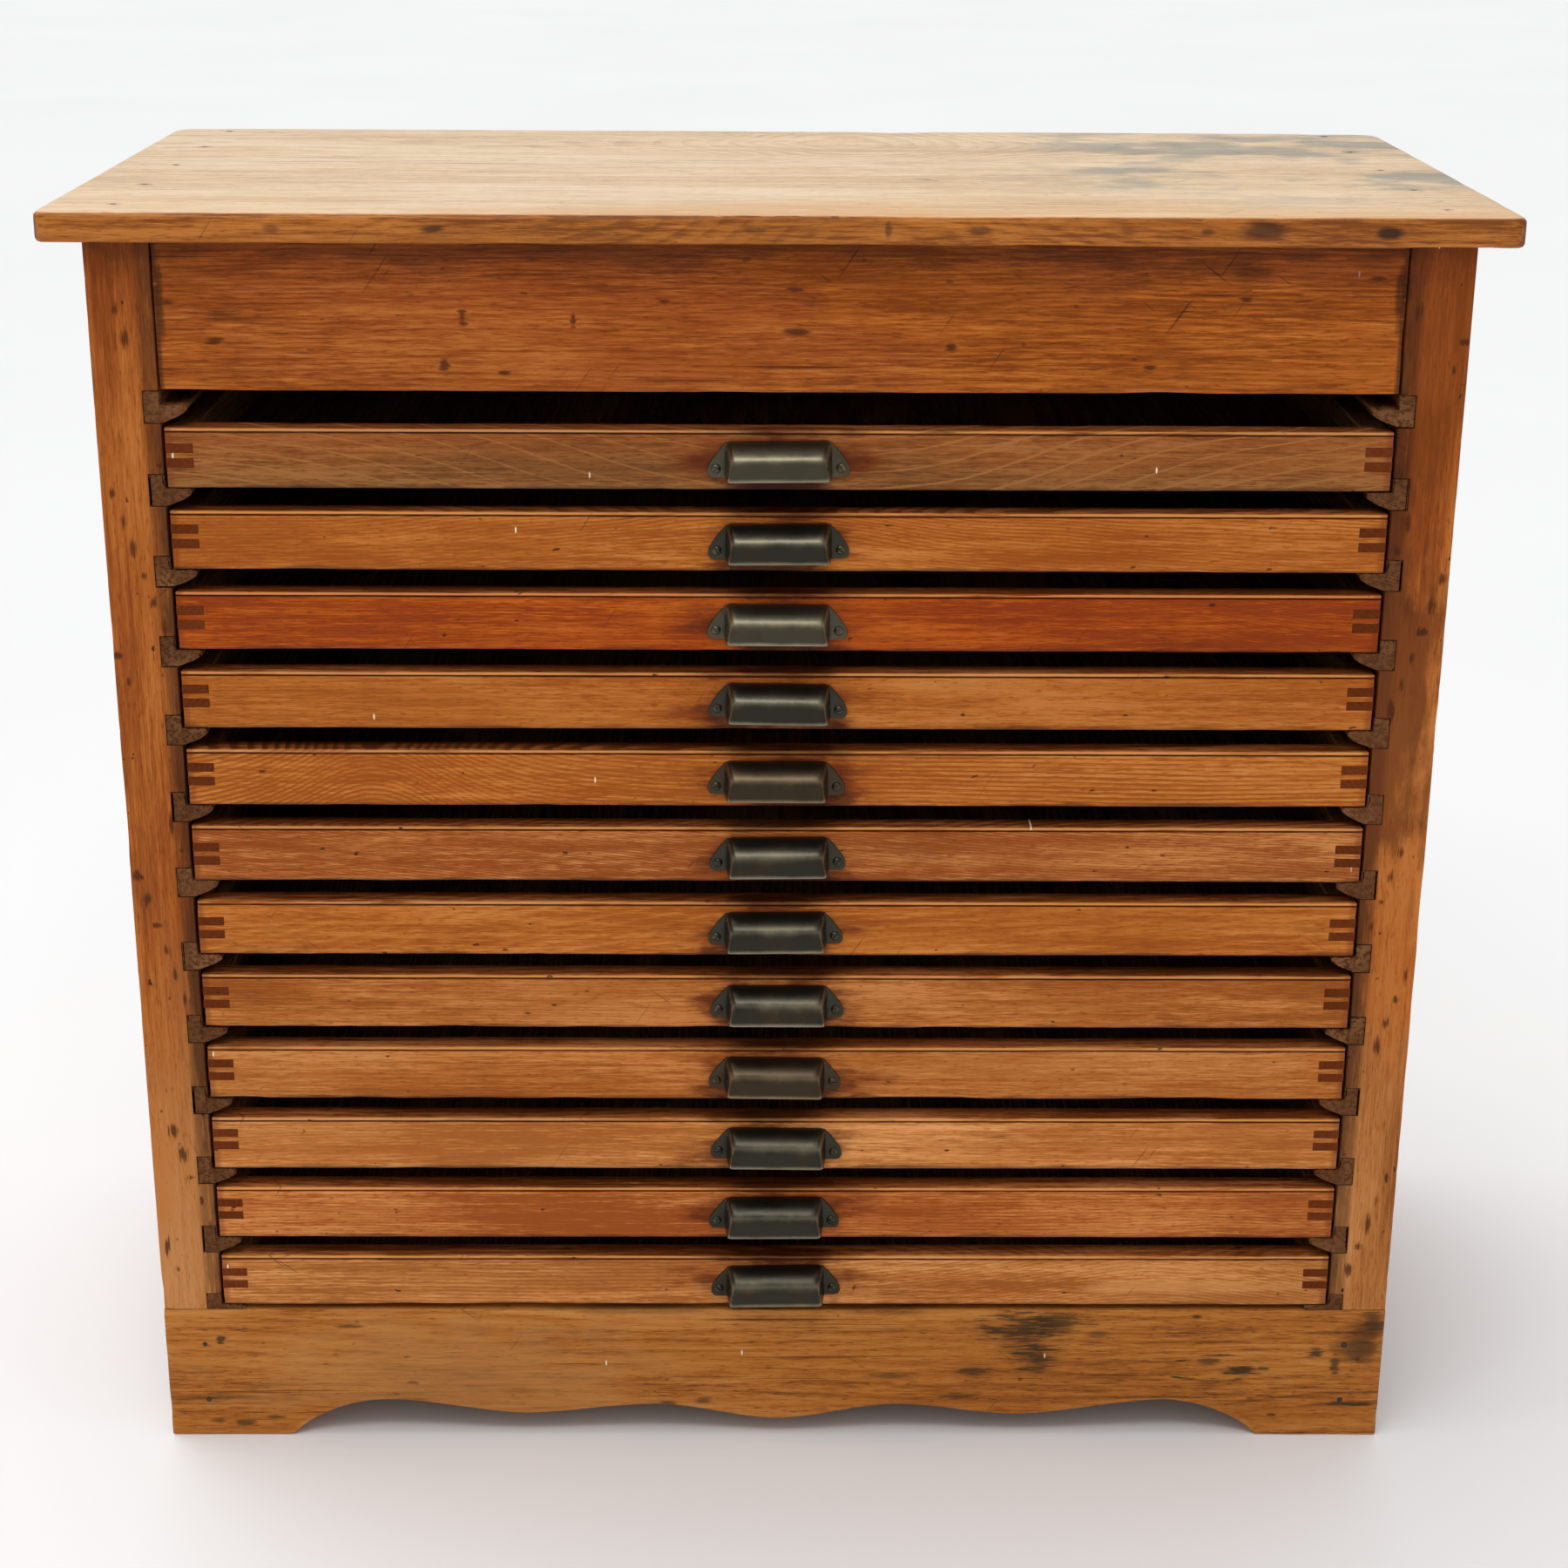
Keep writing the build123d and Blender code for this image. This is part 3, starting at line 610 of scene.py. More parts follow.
def drip_mask(s, grain, share, seed):
    """Sparse little upright drips of dried paint."""
    cells = s.add("ShaderNodeTexVoronoi")
    cells.voronoi_dimensions = "2D"
    cells.inputs["Scale"].default_value = 1.0
    s.feed(cells.inputs["Vector"], s.combine(grain.parts[X] * 36.0 + seed, grain.parts[Z] * 10.0, 0.0))
    chosen = s.vector(cells.outputs["Color"]).split()[0].steps(1.0 - share, 1.01 - share)
    return Field(s, cells.outputs["Distance"]).steps(0.030, 0.016) * chosen


def line(axis, place, half_width, tint, strength):
    """A line across one axis of a board, with its half width in millimetres."""
    return (line_mask, (axis, place, half_width * MM), tint, strength)


def face_mark(x, height, wide, tall, tint, strength, mask=spot_mask):
    """A mark on a surface that faces the front; wide and tall are half sizes in millimetres."""
    return (mask, ((x, FRONT, height), (wide * MM, 30 * MM, tall * MM)), tint, strength)


def face_marks(tint, mask, rows):
    """Marks of one colour and kind, from rows of (x, height, wide, tall, strength)."""
    return [face_mark(*row[:4], tint, row[4], mask) for row in rows]


def wood(name, tones, along, gain=1.0, seed=0.0, marks=(), upper=None, lower=None, lower_from=(0.62, 0.28),
         lower_drift=0.9, end_tones=DARK_END, extra=None, fibre=1.0, flecks=0.5, blotch=0.35, ruddy=0.3,
         grime=0.25, scratches=0.35, dents=0.5, cracks=0.2, drips=0.0, pale_wear=0.35, rough=0.46, shine=0.10,
         **figure):
    """A wooden material. marks are (mask, its place, colour, strength), and figure says how the grain runs.

    upper is the kind of wood on faces that look up, and lower the kind that begins at lower_from.
    """
    s = Shader(name)
    grain = Grain(s, along, seed, **figure)
    tone = grain.tone(fibre, blotch, flecks)
    colour = s.ramp(tone, tone_stops(tones, gain))
    red_patch = grain.noise(2.6, 13.0, detail=3.0).steps(0.42, 0.66)
    colour = s.blend(red_patch * ruddy, colour, RUDDY_FILTER, "MULTIPLY")

    facing = s.normal.split()
    looks_up = facing[Z].steps(0.75, 0.97)
    if upper:
        colour = s.blend(looks_up, colour, s.ramp(tone, tone_stops(upper, gain)))
    if lower:
        height = (grain.slow - 0.5) * lower_drift + grain.parts[Z]
        colour = s.blend(height.steps(*lower_from), colour, s.ramp(tone, tone_stops(lower, gain)))
    if extra:
        colour = extra(s, grain, colour, looks_up)

    # end grain is darker and dirtier
    end = abs(facing[along]).steps(0.55, 0.85)
    ringed = grain.coarse * 0.4 + grain.slow * 0.5 - grain.late * 0.3
    colour = s.blend(end, colour, s.ramp(ringed, tone_stops(end_tones)))

    # worn arrises go pale
    pale = tuple(min(1.0, part * 1.35 * gain) for part in seen(*tones[-1])[:3]) + (1.0,)
    colour = s.blend(s.wear() * grain.coarse.steps(0.38, 0.58) * pale_wear, colour, pale)

    for mask, where, tint, strength in marks:
        colour = s.blend(mask(s, grain, *where) * strength, colour, tint)
    dirt = grain.noise(9.0, 32.0, detail=5.0, rough=0.65).steps(0.58, 0.80)
    colour = s.blend(dirt * grime, colour, GRIME_AND_SHADE)

    # small damage: scratches, dents, cracks along the grain, and drips on top
    dent = grain.noise(70.0, 150.0, detail=3.0).steps(0.70, 0.75)
    crack = grain.noise(5.0, 420.0, detail=1.0).steps(0.66, 0.72) * grain.noise(3.0, 14.0).steps(0.52, 0.62)
    damage = (scratch_mask(s, grain) * scratches).most(dent * dents).most(crack * cracks)
    colour = s.blend(damage, colour, GRIME_AND_SHADE)
    if drips:
        colour = s.blend(drip_mask(s, grain, drips, seed) * 0.85, colour, DRIED_PAINT)

    gloss = (grain.slow - 0.5) * -0.35 + rough + dirt * 0.18 + end * 0.25
    relief = grain.coarse * 0.5 + grain.fine * 0.35 - grain.pores * 0.25 - damage * 0.9
    s.give(Base_Color=colour, Roughness=gloss.clamped(), Specular_IOR_Level=shine,
           Normal=s.bump(relief, 0.35 * MM, 0.8))
    return s.material


# ---------------------------------------------------------------- metal
def old_metal(name, dark, worn_tint, rough, seed=0.0, metallic=0.85):
    """Blackened metal, rubbed pale where hands touch it and where a pull's wear value paints a highlight,
    with a little brown patina.
    """
    s = Shader(name)
    place = s.here + (seed, seed * 0.7, seed * 1.3)
    cloud = s.noise(place * (38.0, 38.0, 38.0), detail=5.0, rough=0.6)
    brushed = s.noise(place * (420.0, 60.0, 45.0))
    pits = s.noise(place * (620.0, 620.0, 620.0))
    # rubbed follows the wear value, so on the pulls' cups it is partly a painted highlight
    rubbed = ((cloud - 0.5) * 0.9 + s.wear() + (brushed - 0.5) * 0.05).steps(0.20, 1.10)
    colour = s.blend(cloud.steps(0.50, 0.75), srgb(*dark), srgb(60, 44, 26))
    colour = s.blend(rubbed, colour, srgb(*worn_tint))
    gloss = (cloud - 0.5) * 0.45 + rough - rubbed * 0.10
    s.give(Base_Color=colour, Metallic=metallic, Roughness=gloss.clamped(),
           Normal=s.bump(cloud + pits * 0.2, 0.3 * MM, 0.5))
    return s.material




# ---------------------------------------------------------------- putting pieces into the model
def place_piece(piece, body, material, slot, *nodes):
    """Gives a piece its material and its body, and hides the plain nodes that it stands for. The slot is not
    used.
    """
    piece.data.materials.clear()
    piece.data.materials.append(material)
    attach(piece, body)
    if nodes:
        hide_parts(*nodes)


def dress_node(name, material, arris):
    """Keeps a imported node, with softened arrises and a better material."""
    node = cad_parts[name]
    for holder in node.material_slots:
        holder.material = material
    weld = node.modifiers.new("weld", "WELD")
    weld.merge_threshold = 0.01 * MM
    bevel = node.modifiers.new("arris", "BEVEL")
    bevel.width = arris
    bevel.segments = 2
    bevel.limit_method = "ANGLE"
    bevel.angle_limit = math.radians(40)


# ---------------------------------------------------------------- the case
def box_corners(low, high):
    """The four corners of a board that runs along X, in (y, z)."""
    return [(low.y, low.z), (high.y, low.z), (high.y, high.z), (low.y, high.z)]


def top_board():
    """The overhanging top: an arris all round, with its back corners well rounded in plan."""
    low, high = TOP_LOW, TOP_HIGH

    def corner_inset(place, radius):
        into = radius - min(place - low.x, high.x - place)
        return radius - math.sqrt(max(0.0, radius**2 - into**2)) if into > 0 else 0.0

    def plan(place, a, b):
        near = low.y + corner_inset(place, TOP_FRONT_RADIUS)
        far = high.y - corner_inset(place, TOP_BACK_RADIUS)
        return near + (a - low.y) / (high.y - low.y) * (far - near), b

    outline = rounded(box_corners(low, high), (3 * MM, 3 * MM, 5 * MM, 6 * MM), 9 * MM)
    return board("top_boards", X, outline, (low.x, high.x), step=7 * MM, end_radius=6 * MM, reach=26 * MM,
                 wear=1.3 * MM, bow=0.5 * MM, shape=plan, seed=1.0, chips=11.0)


def plinth_bottom(place):
    """Height of the plinth's scalloped lower edge."""
    foot = PLINTH_HIGH.x - FOOT_WIDTH
    x = abs(place)
    if x >= foot:
        return 0.0
    crest_x, crest_z = CRESTS[0]
    if x > crest_x:
        run = foot - crest_x
        radius = (run**2 + crest_z**2) / (2 * crest_z)
        return crest_z - radius + math.sqrt(radius**2 - (x - crest_x) ** 2)
    for (x1, z1), (x0, z0) in zip(CRESTS, CRESTS[1:]):
        if x >= x0:
            share = (x - x0) / (x1 - x0)
            return z0 + (z1 - z0) * share * share * (3 - 2 * share)
    return CRESTS[-1][1]


def plinth_board():
    low, high = PLINTH_LOW, PLINTH_HIGH

    def scallop(place, a, b):
        bottom = plinth_bottom(place)
        return a, bottom + (b - low.z) / (high.z - low.z) * (high.z - bottom)

    outline = rounded(box_corners(low, high), (1.8 * MM, 1.2 * MM, 1.0 * MM, 1.2 * MM), 7 * MM)
    return board("plinth", X, outline, (low.x, high.x), step=4 * MM, wear=1.4 * MM, bow=0.3 * MM,
                 shape=scallop, seed=3.0, chips=16.0)


def frieze_board():
    low = Vector((-OPENING + 0.5 * MM, FRIEZE_LOW.y, FRIEZE_LOW.z))
    high = Vector((OPENING - 0.5 * MM, FRIEZE_HIGH.y, FRIEZE_HIGH.z))
    return plank("frieze", X, low, high, arris=1.3 * MM, wear=1.1 * MM, bow=0.35 * MM, seed=2.0)


def runner_notches(side, front, back):
    """Cutters for the notches that the runners' legs fill in a front or back post."""
    xs = sorted((side * (OPENING - 1 * MM), side * (OPENING + RUNNER_LEG + JOINT_GAP)))
    return [((xs[0], front, level - RUNNER_DROP - JOINT_GAP), (xs[1], back, level + RUNNER_RISE + JOINT_GAP))
            for level in RUNNER_LEVELS]


def front_post(side, name, seed):
    """Notched for the runners, and cut away behind the plinth."""
    xs = sorted((side * CASE_HALF, side * OPENING))
    low, high = Vector((xs[0], POST_LOW.y, 0.0)), Vector((xs[1], POST_HIGH.y, CASE_TOP - 0.2 * MM))
    piece = plank(f"front_post_{name}_worn", Z, low, high, arris=1.6 * MM, across=6 * MM, step=6 * MM,
                  wear=1.2 * MM, bow=0.35 * MM, seed=seed, chips=18.0)
    cut(piece, runner_notches(side, FRONT - PAST, POST_HIGH.y + PAST))
    cut(piece, [((xs[0] - PAST, FRONT - PAST, -PAST),
                 (xs[1] + PAST, PLINTH_HIGH.y + JOINT_GAP, PLINTH_HIGH.z + JOINT_GAP))])
    return piece


def back_post(side, name, seed):
    """Notched for the runners, and rebated for the back boards."""
    xs = sorted((side * CASE_HALF, side * OPENING))
    low, high = Vector((xs[0], BACK_LOW.y, 0.0)), Vector((xs[1], BACK_HIGH.y, CASE_TOP - 0.2 * MM))
    piece = plank(f"back_post_{name}_worn", Z, low, high, arris=1.8 * MM, across=7 * MM, wear=1.2 * MM,
                  seed=seed, chips=18.0)
    edge = sorted((side * (OPENING - 2 * MM), side * (BOARDS_HIGH.x + 0.3 * MM)))
    rebate = ((edge[0], BOARDS_LOW.y - 0.1 * MM, BOARDS_LOW.z - JOINT_GAP),
              (edge[1], BACK_HIGH.y + PAST, CASE_TOP + PAST))
    cut(piece, [rebate] + runner_notches(side, BACK_LOW.y - PAST, BOARDS_LOW.y - 1 * MM))
    return piece


def side_rail(node, seed):
    low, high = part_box(node)
    low, high = Vector((low.x, POST_HIGH.y, low.z)), Vector((high.x, BACK_LOW.y, high.z))
    return plank(node + "_worn", Y, low, high, arris=1.4 * MM, wear=1.0 * MM, seed=seed, end_radius=0.5 * MM)


def side_panel(name, node, seed):
    """Two boards edge to edge, with a fine open joint between them."""
    low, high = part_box(node)
    halves = (("_a", low, Vector((high.x, PANEL_JOINT - 0.3 * MM, high.z)), seed),
              ("_b", Vector((low.x, PANEL_JOINT + 0.3 * MM, low.z)), high, seed + 4))
    return joined(name, [plank(name + end, Z, first, last, arris=0.8 * MM, across=12 * MM, step=12 * MM,
                               wear=0.6 * MM, bow=0.5 * MM, seed=own_seed)
                         for end, first, last, own_seed in halves])


def back_boards():
    """Upright boards with worn arrises and uneven feet."""
    low, high = BOARDS_LOW, BOARDS_HIGH
    width = (high.x - low.x + BOARD_GAP) / BOARD_COUNT
    parts = []
    for i in range(BOARD_COUNT):
        left = low.x + i * width
        corner_low = Vector((left, low.y, low.z + (i * 7 % 3) * 1.0 * MM))
        corner_high = Vector((left + width - BOARD_GAP, high.y, high.z - 0.2 * MM))
        parts.append(plank(f"back_board_{i + 1}", Z, corner_low, corner_high, arris=1.5 * MM, across=14 * MM,
                           step=12 * MM, wear=1.2 * MM, bow=0.6 * MM, seed=40.0 + i))
    return joined("back_boards_worn", parts)


def runners(side, name, seed):
    """Thirteen L-section strips, each with a worn tongue; their front ends show in the post."""
    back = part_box("left_runners")[1].y
    parts = []
    for i, level in enumerate(RUNNER_LEVELS):
        top = level - RUNNER_PLAY
        droop = 0.6 * MM * grain_noise((i, 0, 0), (3.7, 1, 1), seed)
        reach = TONGUE + 0.4 * droop
        # distance from the post's inner face, height, and radius of each corner
        profile = [
            (-RUNNER_LEG, level - RUNNER_DROP, 0.5 * MM), (1 * MM, level - RUNNER_DROP, 2.0 * MM),
            (reach - 5 * MM, top - 8 * MM - droop, 5.0 * MM), (reach, top - 3.5 * MM, 1.8 * MM),
            (reach - 1.5 * MM, top, 0.8 * MM), (0.0, top, 0.4 * MM), (0.0, level + RUNNER_RISE, 0.8 * MM),
            (-RUNNER_LEG, level + RUNNER_RISE, 0.5 * MM),
        ]
        # the outline runs in (z, x) order, so the left one is reversed to stay counter-clockwise
        if side < 0:
            profile.reverse()
        points = [(z, side * (OPENING - x)) for x, z, _ in profile]
        outline = rounded(points, [radius for _, _, radius in profile], 6 * MM)
        parts.append(board(f"runner_{i}", Y, outline, (FRONT - 0.1 * MM, back), step=20 * MM,
                           end_radius=0.7 * MM, wear=1.0 * MM, bow=0.2 * MM, seed=seed + i, chips=30.0))
    # the lowest pair is shorter, behind the plinth
    cut(parts[-1], [((-1.0, FRONT - PAST, 0.0), (1.0, PLINTH_HIGH.y + 0.1 * MM, PLINTH_HIGH.z + 0.1 * MM))])
    return joined(f"runners_{name}_worn", parts)


def dome(rings, sides, uneven=None):
    """Points and faces of a round head from (radius, height) rings, the last of which is its top."""
    verts = []
    for radius, height in rings[:-1]:
        for k in range(sides):
            x, y = math.cos(2 * math.pi * k / sides), math.sin(2 * math.pi * k / sides)
            reach = radius * (uneven(x, y) if uneven else 1.0)
            verts.append(Vector((x * reach, y * reach, height)))
    verts.append(Vector((0.0, 0.0, rings[-1][1])))
    faces = []
    for level in range(len(rings) - 2):
        for k in range(sides):
            a, b = level * sides + k, level * sides + (k + 1) % sides
            faces.append((a, b, b + sides, a + sides))
    last = (len(rings) - 2) * sides
    faces += [(last + k, last + (k + 1) % sides, len(verts) - 1) for k in range(sides)]
    faces.append(tuple(reversed(range(sides))))
    return verts, faces


def nail_heads(name, places, outward, seed):
    """Hand-driven nail heads, slightly domed and uneven, along one outward direction."""
    verts, faces, wear = [], [], []
    turn = Vector((0, 0, 1)).rotation_difference(Vector(outward)).to_matrix()
    for number, place in enumerate(places):
        size = NAIL_RADIUS * (1 + 0.14 * grain_noise((number, 0, 0), (5.3, 1, 1), seed))

        def uneven(x, y):
            return 1 + 0.10 * grain_noise((x, y, number), (1.3, 1.3, 2.1), seed)

        rings = ((size, -1.2 * MM), (size, 0.0), (0.93 * size, 0.22 * MM), (0.55 * size, 0.34 * MM),
                 (0.0, 0.38 * MM))
        points, own_faces = dome(rings, 14, uneven)
        faces += [tuple(len(verts) + k for k in face) for face in own_faces]
        verts += [tuple(turn @ point + Vector(place)) for point in points]
        wear += [0.4] * (len(points) - 1) + [0.8]
    return finish_mesh(name, verts, faces, wear)


# ---------------------------------------------------------------- the drawers
def front_outline(low, high):
    """Across a drawer front: a bead and its quirk along the top of the face, and easy arrises elsewhere."""
    face, bottom, top = low.y, low.z, high.z
    width = (high.y - face) / MM
    # (depth from the face, height above the bottom, edge), from the bottom's front arris up the face
    outline = [(depth, bottom + rise * MM, edge) for depth, rise, edge in (
        (1.0, 0.0, 1), (0.3, 0.25, 1), (0.0, 1.0, 1), (0.0, 4, 0.15), (0.0, 9, 0.0), (0.0, 14, 0.0),
        (0.0, 19, 0.0), (0.0, 24, 0.0), (0.0, 29, 0.0), (0.0, 34, 0.0), (0.0, 38.5, 0.0))]
    # (depth, distance below the top, edge), over the quirk, the bead and the top, then down the back
    outline += [(depth, top - drop * MM, edge) for depth, drop, edge in (
        (0.0, 4.0, 0.4), (0.25, 3.8, 0.4), (1.6, 3.65, 0.0), (1.6, 2.95, 0.0), (0.5, 2.8, 0.4),
        (0.1, 2.3, 0.8), (0.0, 1.6, 1), (0.15, 0.85, 1), (0.6, 0.3, 1), (1.4, 0.0, 1), (4, 0.0, 0.1),
        (7, 0.0, 0.1),
        (10, 0.0, 0.1), (13, 0.0, 0.1), (16, 0.0, 0.1), (width - 0.8, 0.0, 1), (width - 0.2, 0.2, 1),
        (width, 0.8, 1), (width, 10, 0.0), (width, 20, 0.0), (width, 30, 0.0))]
    outline += [(depth, bottom + rise * MM, edge) for depth, rise, edge in (
        (width, 0.8, 1), (width - 0.2, 0.2, 1), (width - 0.8, 0.0, 1), (width / 2, 0.0, 0.2))]
    # the other way round is counter-clockwise
    return [(face + depth * MM, height, edge) for depth, height, edge in reversed(outline)]


def finger_heights(number):
    """(low, high) heights of the two fingers, read from the tray's ends in the front's face."""
    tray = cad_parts[drawer_name(number, "tray")].data
    heights = sorted({round(v.co.z, 5) for v in tray.vertices if v.co.y < FRONT + 0.2 * MM})
    return [(heights[0], heights[1]), (heights[2], heights[3])]


def drawer_front(number):
    """A worn face board with real slots for the tray's fingers."""
    low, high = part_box(drawer_name(number, "front"))
    ragged = {8: 1.1 * MM, 9: 1.6 * MM, 5: 1.1 * MM}.get(number, 0.8 * MM)

    def sagging(place, a, b):
        """The lower edge is rubbed away unevenly."""
        share = max(0.0, 1 - (b - low.z) / (6 * MM))
        dip = max(0.0, grain_noise((place, 0, number), (5.0, 1, 1.7), 60.0 + number) - 0.1)
        return a, b + share * ragged * 1.6 * dip

    piece = board(f"drawer_{number:02d}_face", X, front_outline(low, high), (low.x, high.x), step=5 * MM,
                  end_radius=0.9 * MM, wear=ragged, bow=0.25 * MM, shape=sagging, seed=10.0 + number,
                  chips=20.0)
    slot_end = high.x - (high.y - low.y) - JOINT_GAP
    boxes = []
    for bottom, top in finger_heights(number):
        for side in (-1, 1):
            xs = sorted((side * (high.x + 2 * MM), side * slot_end))
            boxes.append(((xs[0], low.y - 2 * MM, bottom - JOINT_GAP),
                          (xs[1], high.y + 2 * MM, top + JOINT_GAP)))
    cut(piece, boxes)
    return piece


def cup(number, tilt):
    """The hooded cup of a pull, as one sheet that is then given its thickness."""
    bottom = LEVELS[number - 1]
    turns = [math.pi / 2 * k / 6 for k in range(7)]
    left = [(-PULL_HALF + CUP_CORNER * (1 - math.cos(t)), CUP_CORNER * (1 - math.sin(t))) for t in turns]
    inner = -left[-1][0]
    middle = [(-inner + inner * k / 9, 0.0) for k in range(1, 18)]
    sections = left + middle + [(-x, inset) for x, inset in reversed(left)]
    verts, faces, wear = [], [], []
    for x, inset in sections:
        on_corner = 0.2 * CUP_CORNER < inset < 0.8 * CUP_CORNER
        for reach, height, half in HOOD:
            depth = reach / HOOD[-1][0] * (PULL_REACH - inset)
            rise = PULL_LIP + (height * MM - PULL_LIP) * (1 - 0.3 * inset / CUP_CORNER)
            verts.append((x * half * MM / PULL_HALF, FRONT - 0.15 * MM - depth, bottom + rise))
            # the wear value also paints the metal's highlights: a painted highlight along the hood's ridge,
            # and a lip and corners that are worn and also given a painted highlight
            ridge_highlight = math.exp(-((height - 26.5) / 3.0) ** 2)
            lip = math.exp(-((height - 10.5) / 1.6) ** 2)
            wear.append(0.15 + 0.55 * ridge_highlight + 0.85 * lip + 0.55 * on_corner)
    rows = len(HOOD)
    for i in range(len(sections) - 1):
        for k in range(rows - 1):
            a = i * rows + k
            faces.append((a, a + 1, a + rows + 1, a + rows))
    # each end is closed by a fan from a point at the lip, against the wood
    for first, flip in ((0, False), ((len(sections) - 1) * rows, True)):
        verts.append((verts[first][0], FRONT - 0.15 * MM, bottom + PULL_LIP))
        wear.append(0.2)
        hub = len(verts) - 1
        for k in range(rows - 1):
            wedge = (hub, first + k + 1, first + k)
            faces.append(wedge[::-1] if flip else wedge)
    piece = finish_mesh(f"drawer_{number:02d}_cup", verts, faces, wear, angle=50)
    face_outward(piece.data)
    thick = piece.modifiers.new("sheet", "SOLIDIFY")
    thick.thickness = PULL_SHEET
    thick.offset = -1.0
    thick.use_even_offset = True
    soft = piece.modifiers.new("rim", "BEVEL")
    soft.width = 0.45 * MM
    soft.segments = 2
    soft.limit_method = "ANGLE"
    soft.angle_limit = math.radians(50)
    keep_result(piece)
    tip(piece, bottom, tilt)
    return piece


def face_outward(mesh):
    """Turns an open sheet's faces so that most of them look towards the front."""
    bm = bmesh.new()
    bm.from_mesh(mesh)
    bmesh.ops.recalc_face_normals(bm, faces=bm.faces)
    if sum(f.normal.y * f.calc_area() for f in bm.faces) > 0:
        bmesh.ops.reverse_faces(bm, faces=bm.faces)
    bm.to_mesh(mesh)
    bm.free()


def tip(piece, bottom, tilt):
    """Turns a pull's piece a little in the plane of the drawer's face, as if its screws had settled."""
    centre = Vector((0.0, FRONT, bottom + 22 * MM))
    angle, shift = tilt
    turn = Matrix.Translation(centre + Vector((shift, 0, 0))) @ Matrix.Rotation(angle, 4, "Y")
    piece.data.transform(turn @ Matrix.Translation(-centre))


def ear(side, bottom):
    """One flat ear of a pull, with a rounded rim."""
    bm = bmesh.new()
    back = [bm.verts.new((side * x * MM, FRONT + 0.02 * MM, bottom + z * MM)) for x, z in EAR_OUTLINE]
    face = bm.faces.new(back if side > 0 else back[::-1])
    lifted = bmesh.ops.extrude_face_region(bm, geom=[face])
    moved = [g for g in lifted["geom"] if isinstance(g, bmesh.types.BMVert)]
    bmesh.ops.translate(bm, verts=moved, vec=(0, -PULL_SHEET, 0))
    bmesh.ops.recalc_face_normals(bm, faces=bm.faces)
    rim = [e for e in bm.edges if all(v in moved for v in e.verts)]
    bmesh.ops.bevel(bm, geom=rim, offset=0.6 * MM, segments=2, profile=0.6, affect="EDGES")
    mesh = bpy.data.meshes.new("ear")
    bm.to_mesh(mesh)
    bm.free()
    values = [0.2 if v.co.y < FRONT - 0.9 * MM else 0.1 for v in mesh.vertices]
    mesh.attributes.new("wear", "FLOAT", "POINT").data.foreach_set("value", values)
    return placed("ear", mesh)


def screw_head(place, seed):
    """A domed screw head with a cut slot, turned at random."""
    rings = ((3.7, 0.0), (3.6, 0.55), (3.1, 1.15), (2.2, 1.7), (1.1, 2.05), (0.0, 2.15))
    verts, faces = dome([(radius * MM, height * MM) for radius, height in rings], 20)
    piece = finish_mesh("screw", verts, faces, [0.4] * len(verts))
    cut(piece, [((-5 * MM, -0.5 * MM, 1.1 * MM), (5 * MM, 0.5 * MM, 5 * MM))])
    turn = Matrix.Rotation(math.pi / 2, 4, "X") @ Matrix.Rotation(2.4 * math.sin(seed * 12.9), 4, "Z")
    piece.data.transform(Matrix.Translation(place) @ turn)
    return piece


def ears_and_screws(number, tilt):
    """The two flat ears, and a slotted round-head screw in each."""
    bottom = LEVELS[number - 1]
    parts = []
    for side in (-1, 1):
        parts.append(ear(side, bottom))
        place = Vector((side * SCREW_OUT, FRONT - PULL_SHEET + 0.1 * MM, bottom + SCREW_HEIGHT))
        parts.append(screw_head(place, number * 2 + side))
    piece = joined(f"drawer_{number:02d}_ears", parts)
    tip(piece, bottom, tilt)
    return piece


# ---------------------------------------------------------------- marks on each piece
def hand_marks(level):
    """Dark handling stains round a pull: beside it, under it, and on the bead above it. The one under it is
    also a painted shadow of the pull.
    """
    halo = face_mark(0.0, level + 20 * MM, 74, 25, RED_HALO, 0.85)
    return [halo] + face_marks(GRIME_AND_SHADE, spot_mask, (
        # the second row, under the pull's lip, is a handling stain and a painted shadow
        (0.0, level + 19 * MM, 60, 19, 0.5), (0.0, level + 5 * MM, 52, 9, 0.75),
        (0.0, level + 44 * MM, 66, 5, 0.55)))


def top_marks():
    """Knots and dark marks on the front edge, and rust round the nails."""
    middle = (TOP_LOW.z + TOP_HIGH.z) / 2
    marks = []
    for x, wide, tall, strength in (
        (-0.245, 9, 3, 0.8), (0.14, 10, 4, 0.6), (0.245, 9, 5, 0.4), (0.345, 20, 7, 0.75),
        (0.43, 10, 5, 0.9), (-0.36, 7, 3, 0.5), (0.075, 3, 7, 0.6), (-0.02, 8, 3, 0.5), (0.30, 6, 3, 0.6),
    ):
        size = (wide * MM, 6 * MM, tall * MM)
        marks.append((spot_mask, ((x, TOP_LOW.y, middle), size), GRIME_AND_SHADE, strength))
    for x, y in nail_places():
        marks.append((spot_mask, ((x, y, TOP_HIGH.z), (7 * MM, 5 * MM, 9 * MM)), GRIME_AND_SHADE, 0.5))
    return marks


def top_stains(s, grain, colour, looks_up):
    """Blue-grey ink that has soaked into the right-hand end of the top, and a browner front."""
    x, y = grain.parts[X], grain.parts[Y]
    cloud = grain.noise(8.0, 12.0, detail=5.0, rough=0.6)
    ink = cloud.steps(0.44, 0.60) * x.steps(0.14, 0.30) * y.steps(-0.24, -0.08)
    colour = s.blend(ink * looks_up * 0.7, colour, INK)
    warm = ((grain.slow - 0.5) * 0.30 + y).steps(-0.15, -0.29)
    return s.blend(warm * looks_up * 0.55, colour, TOP_WARM)


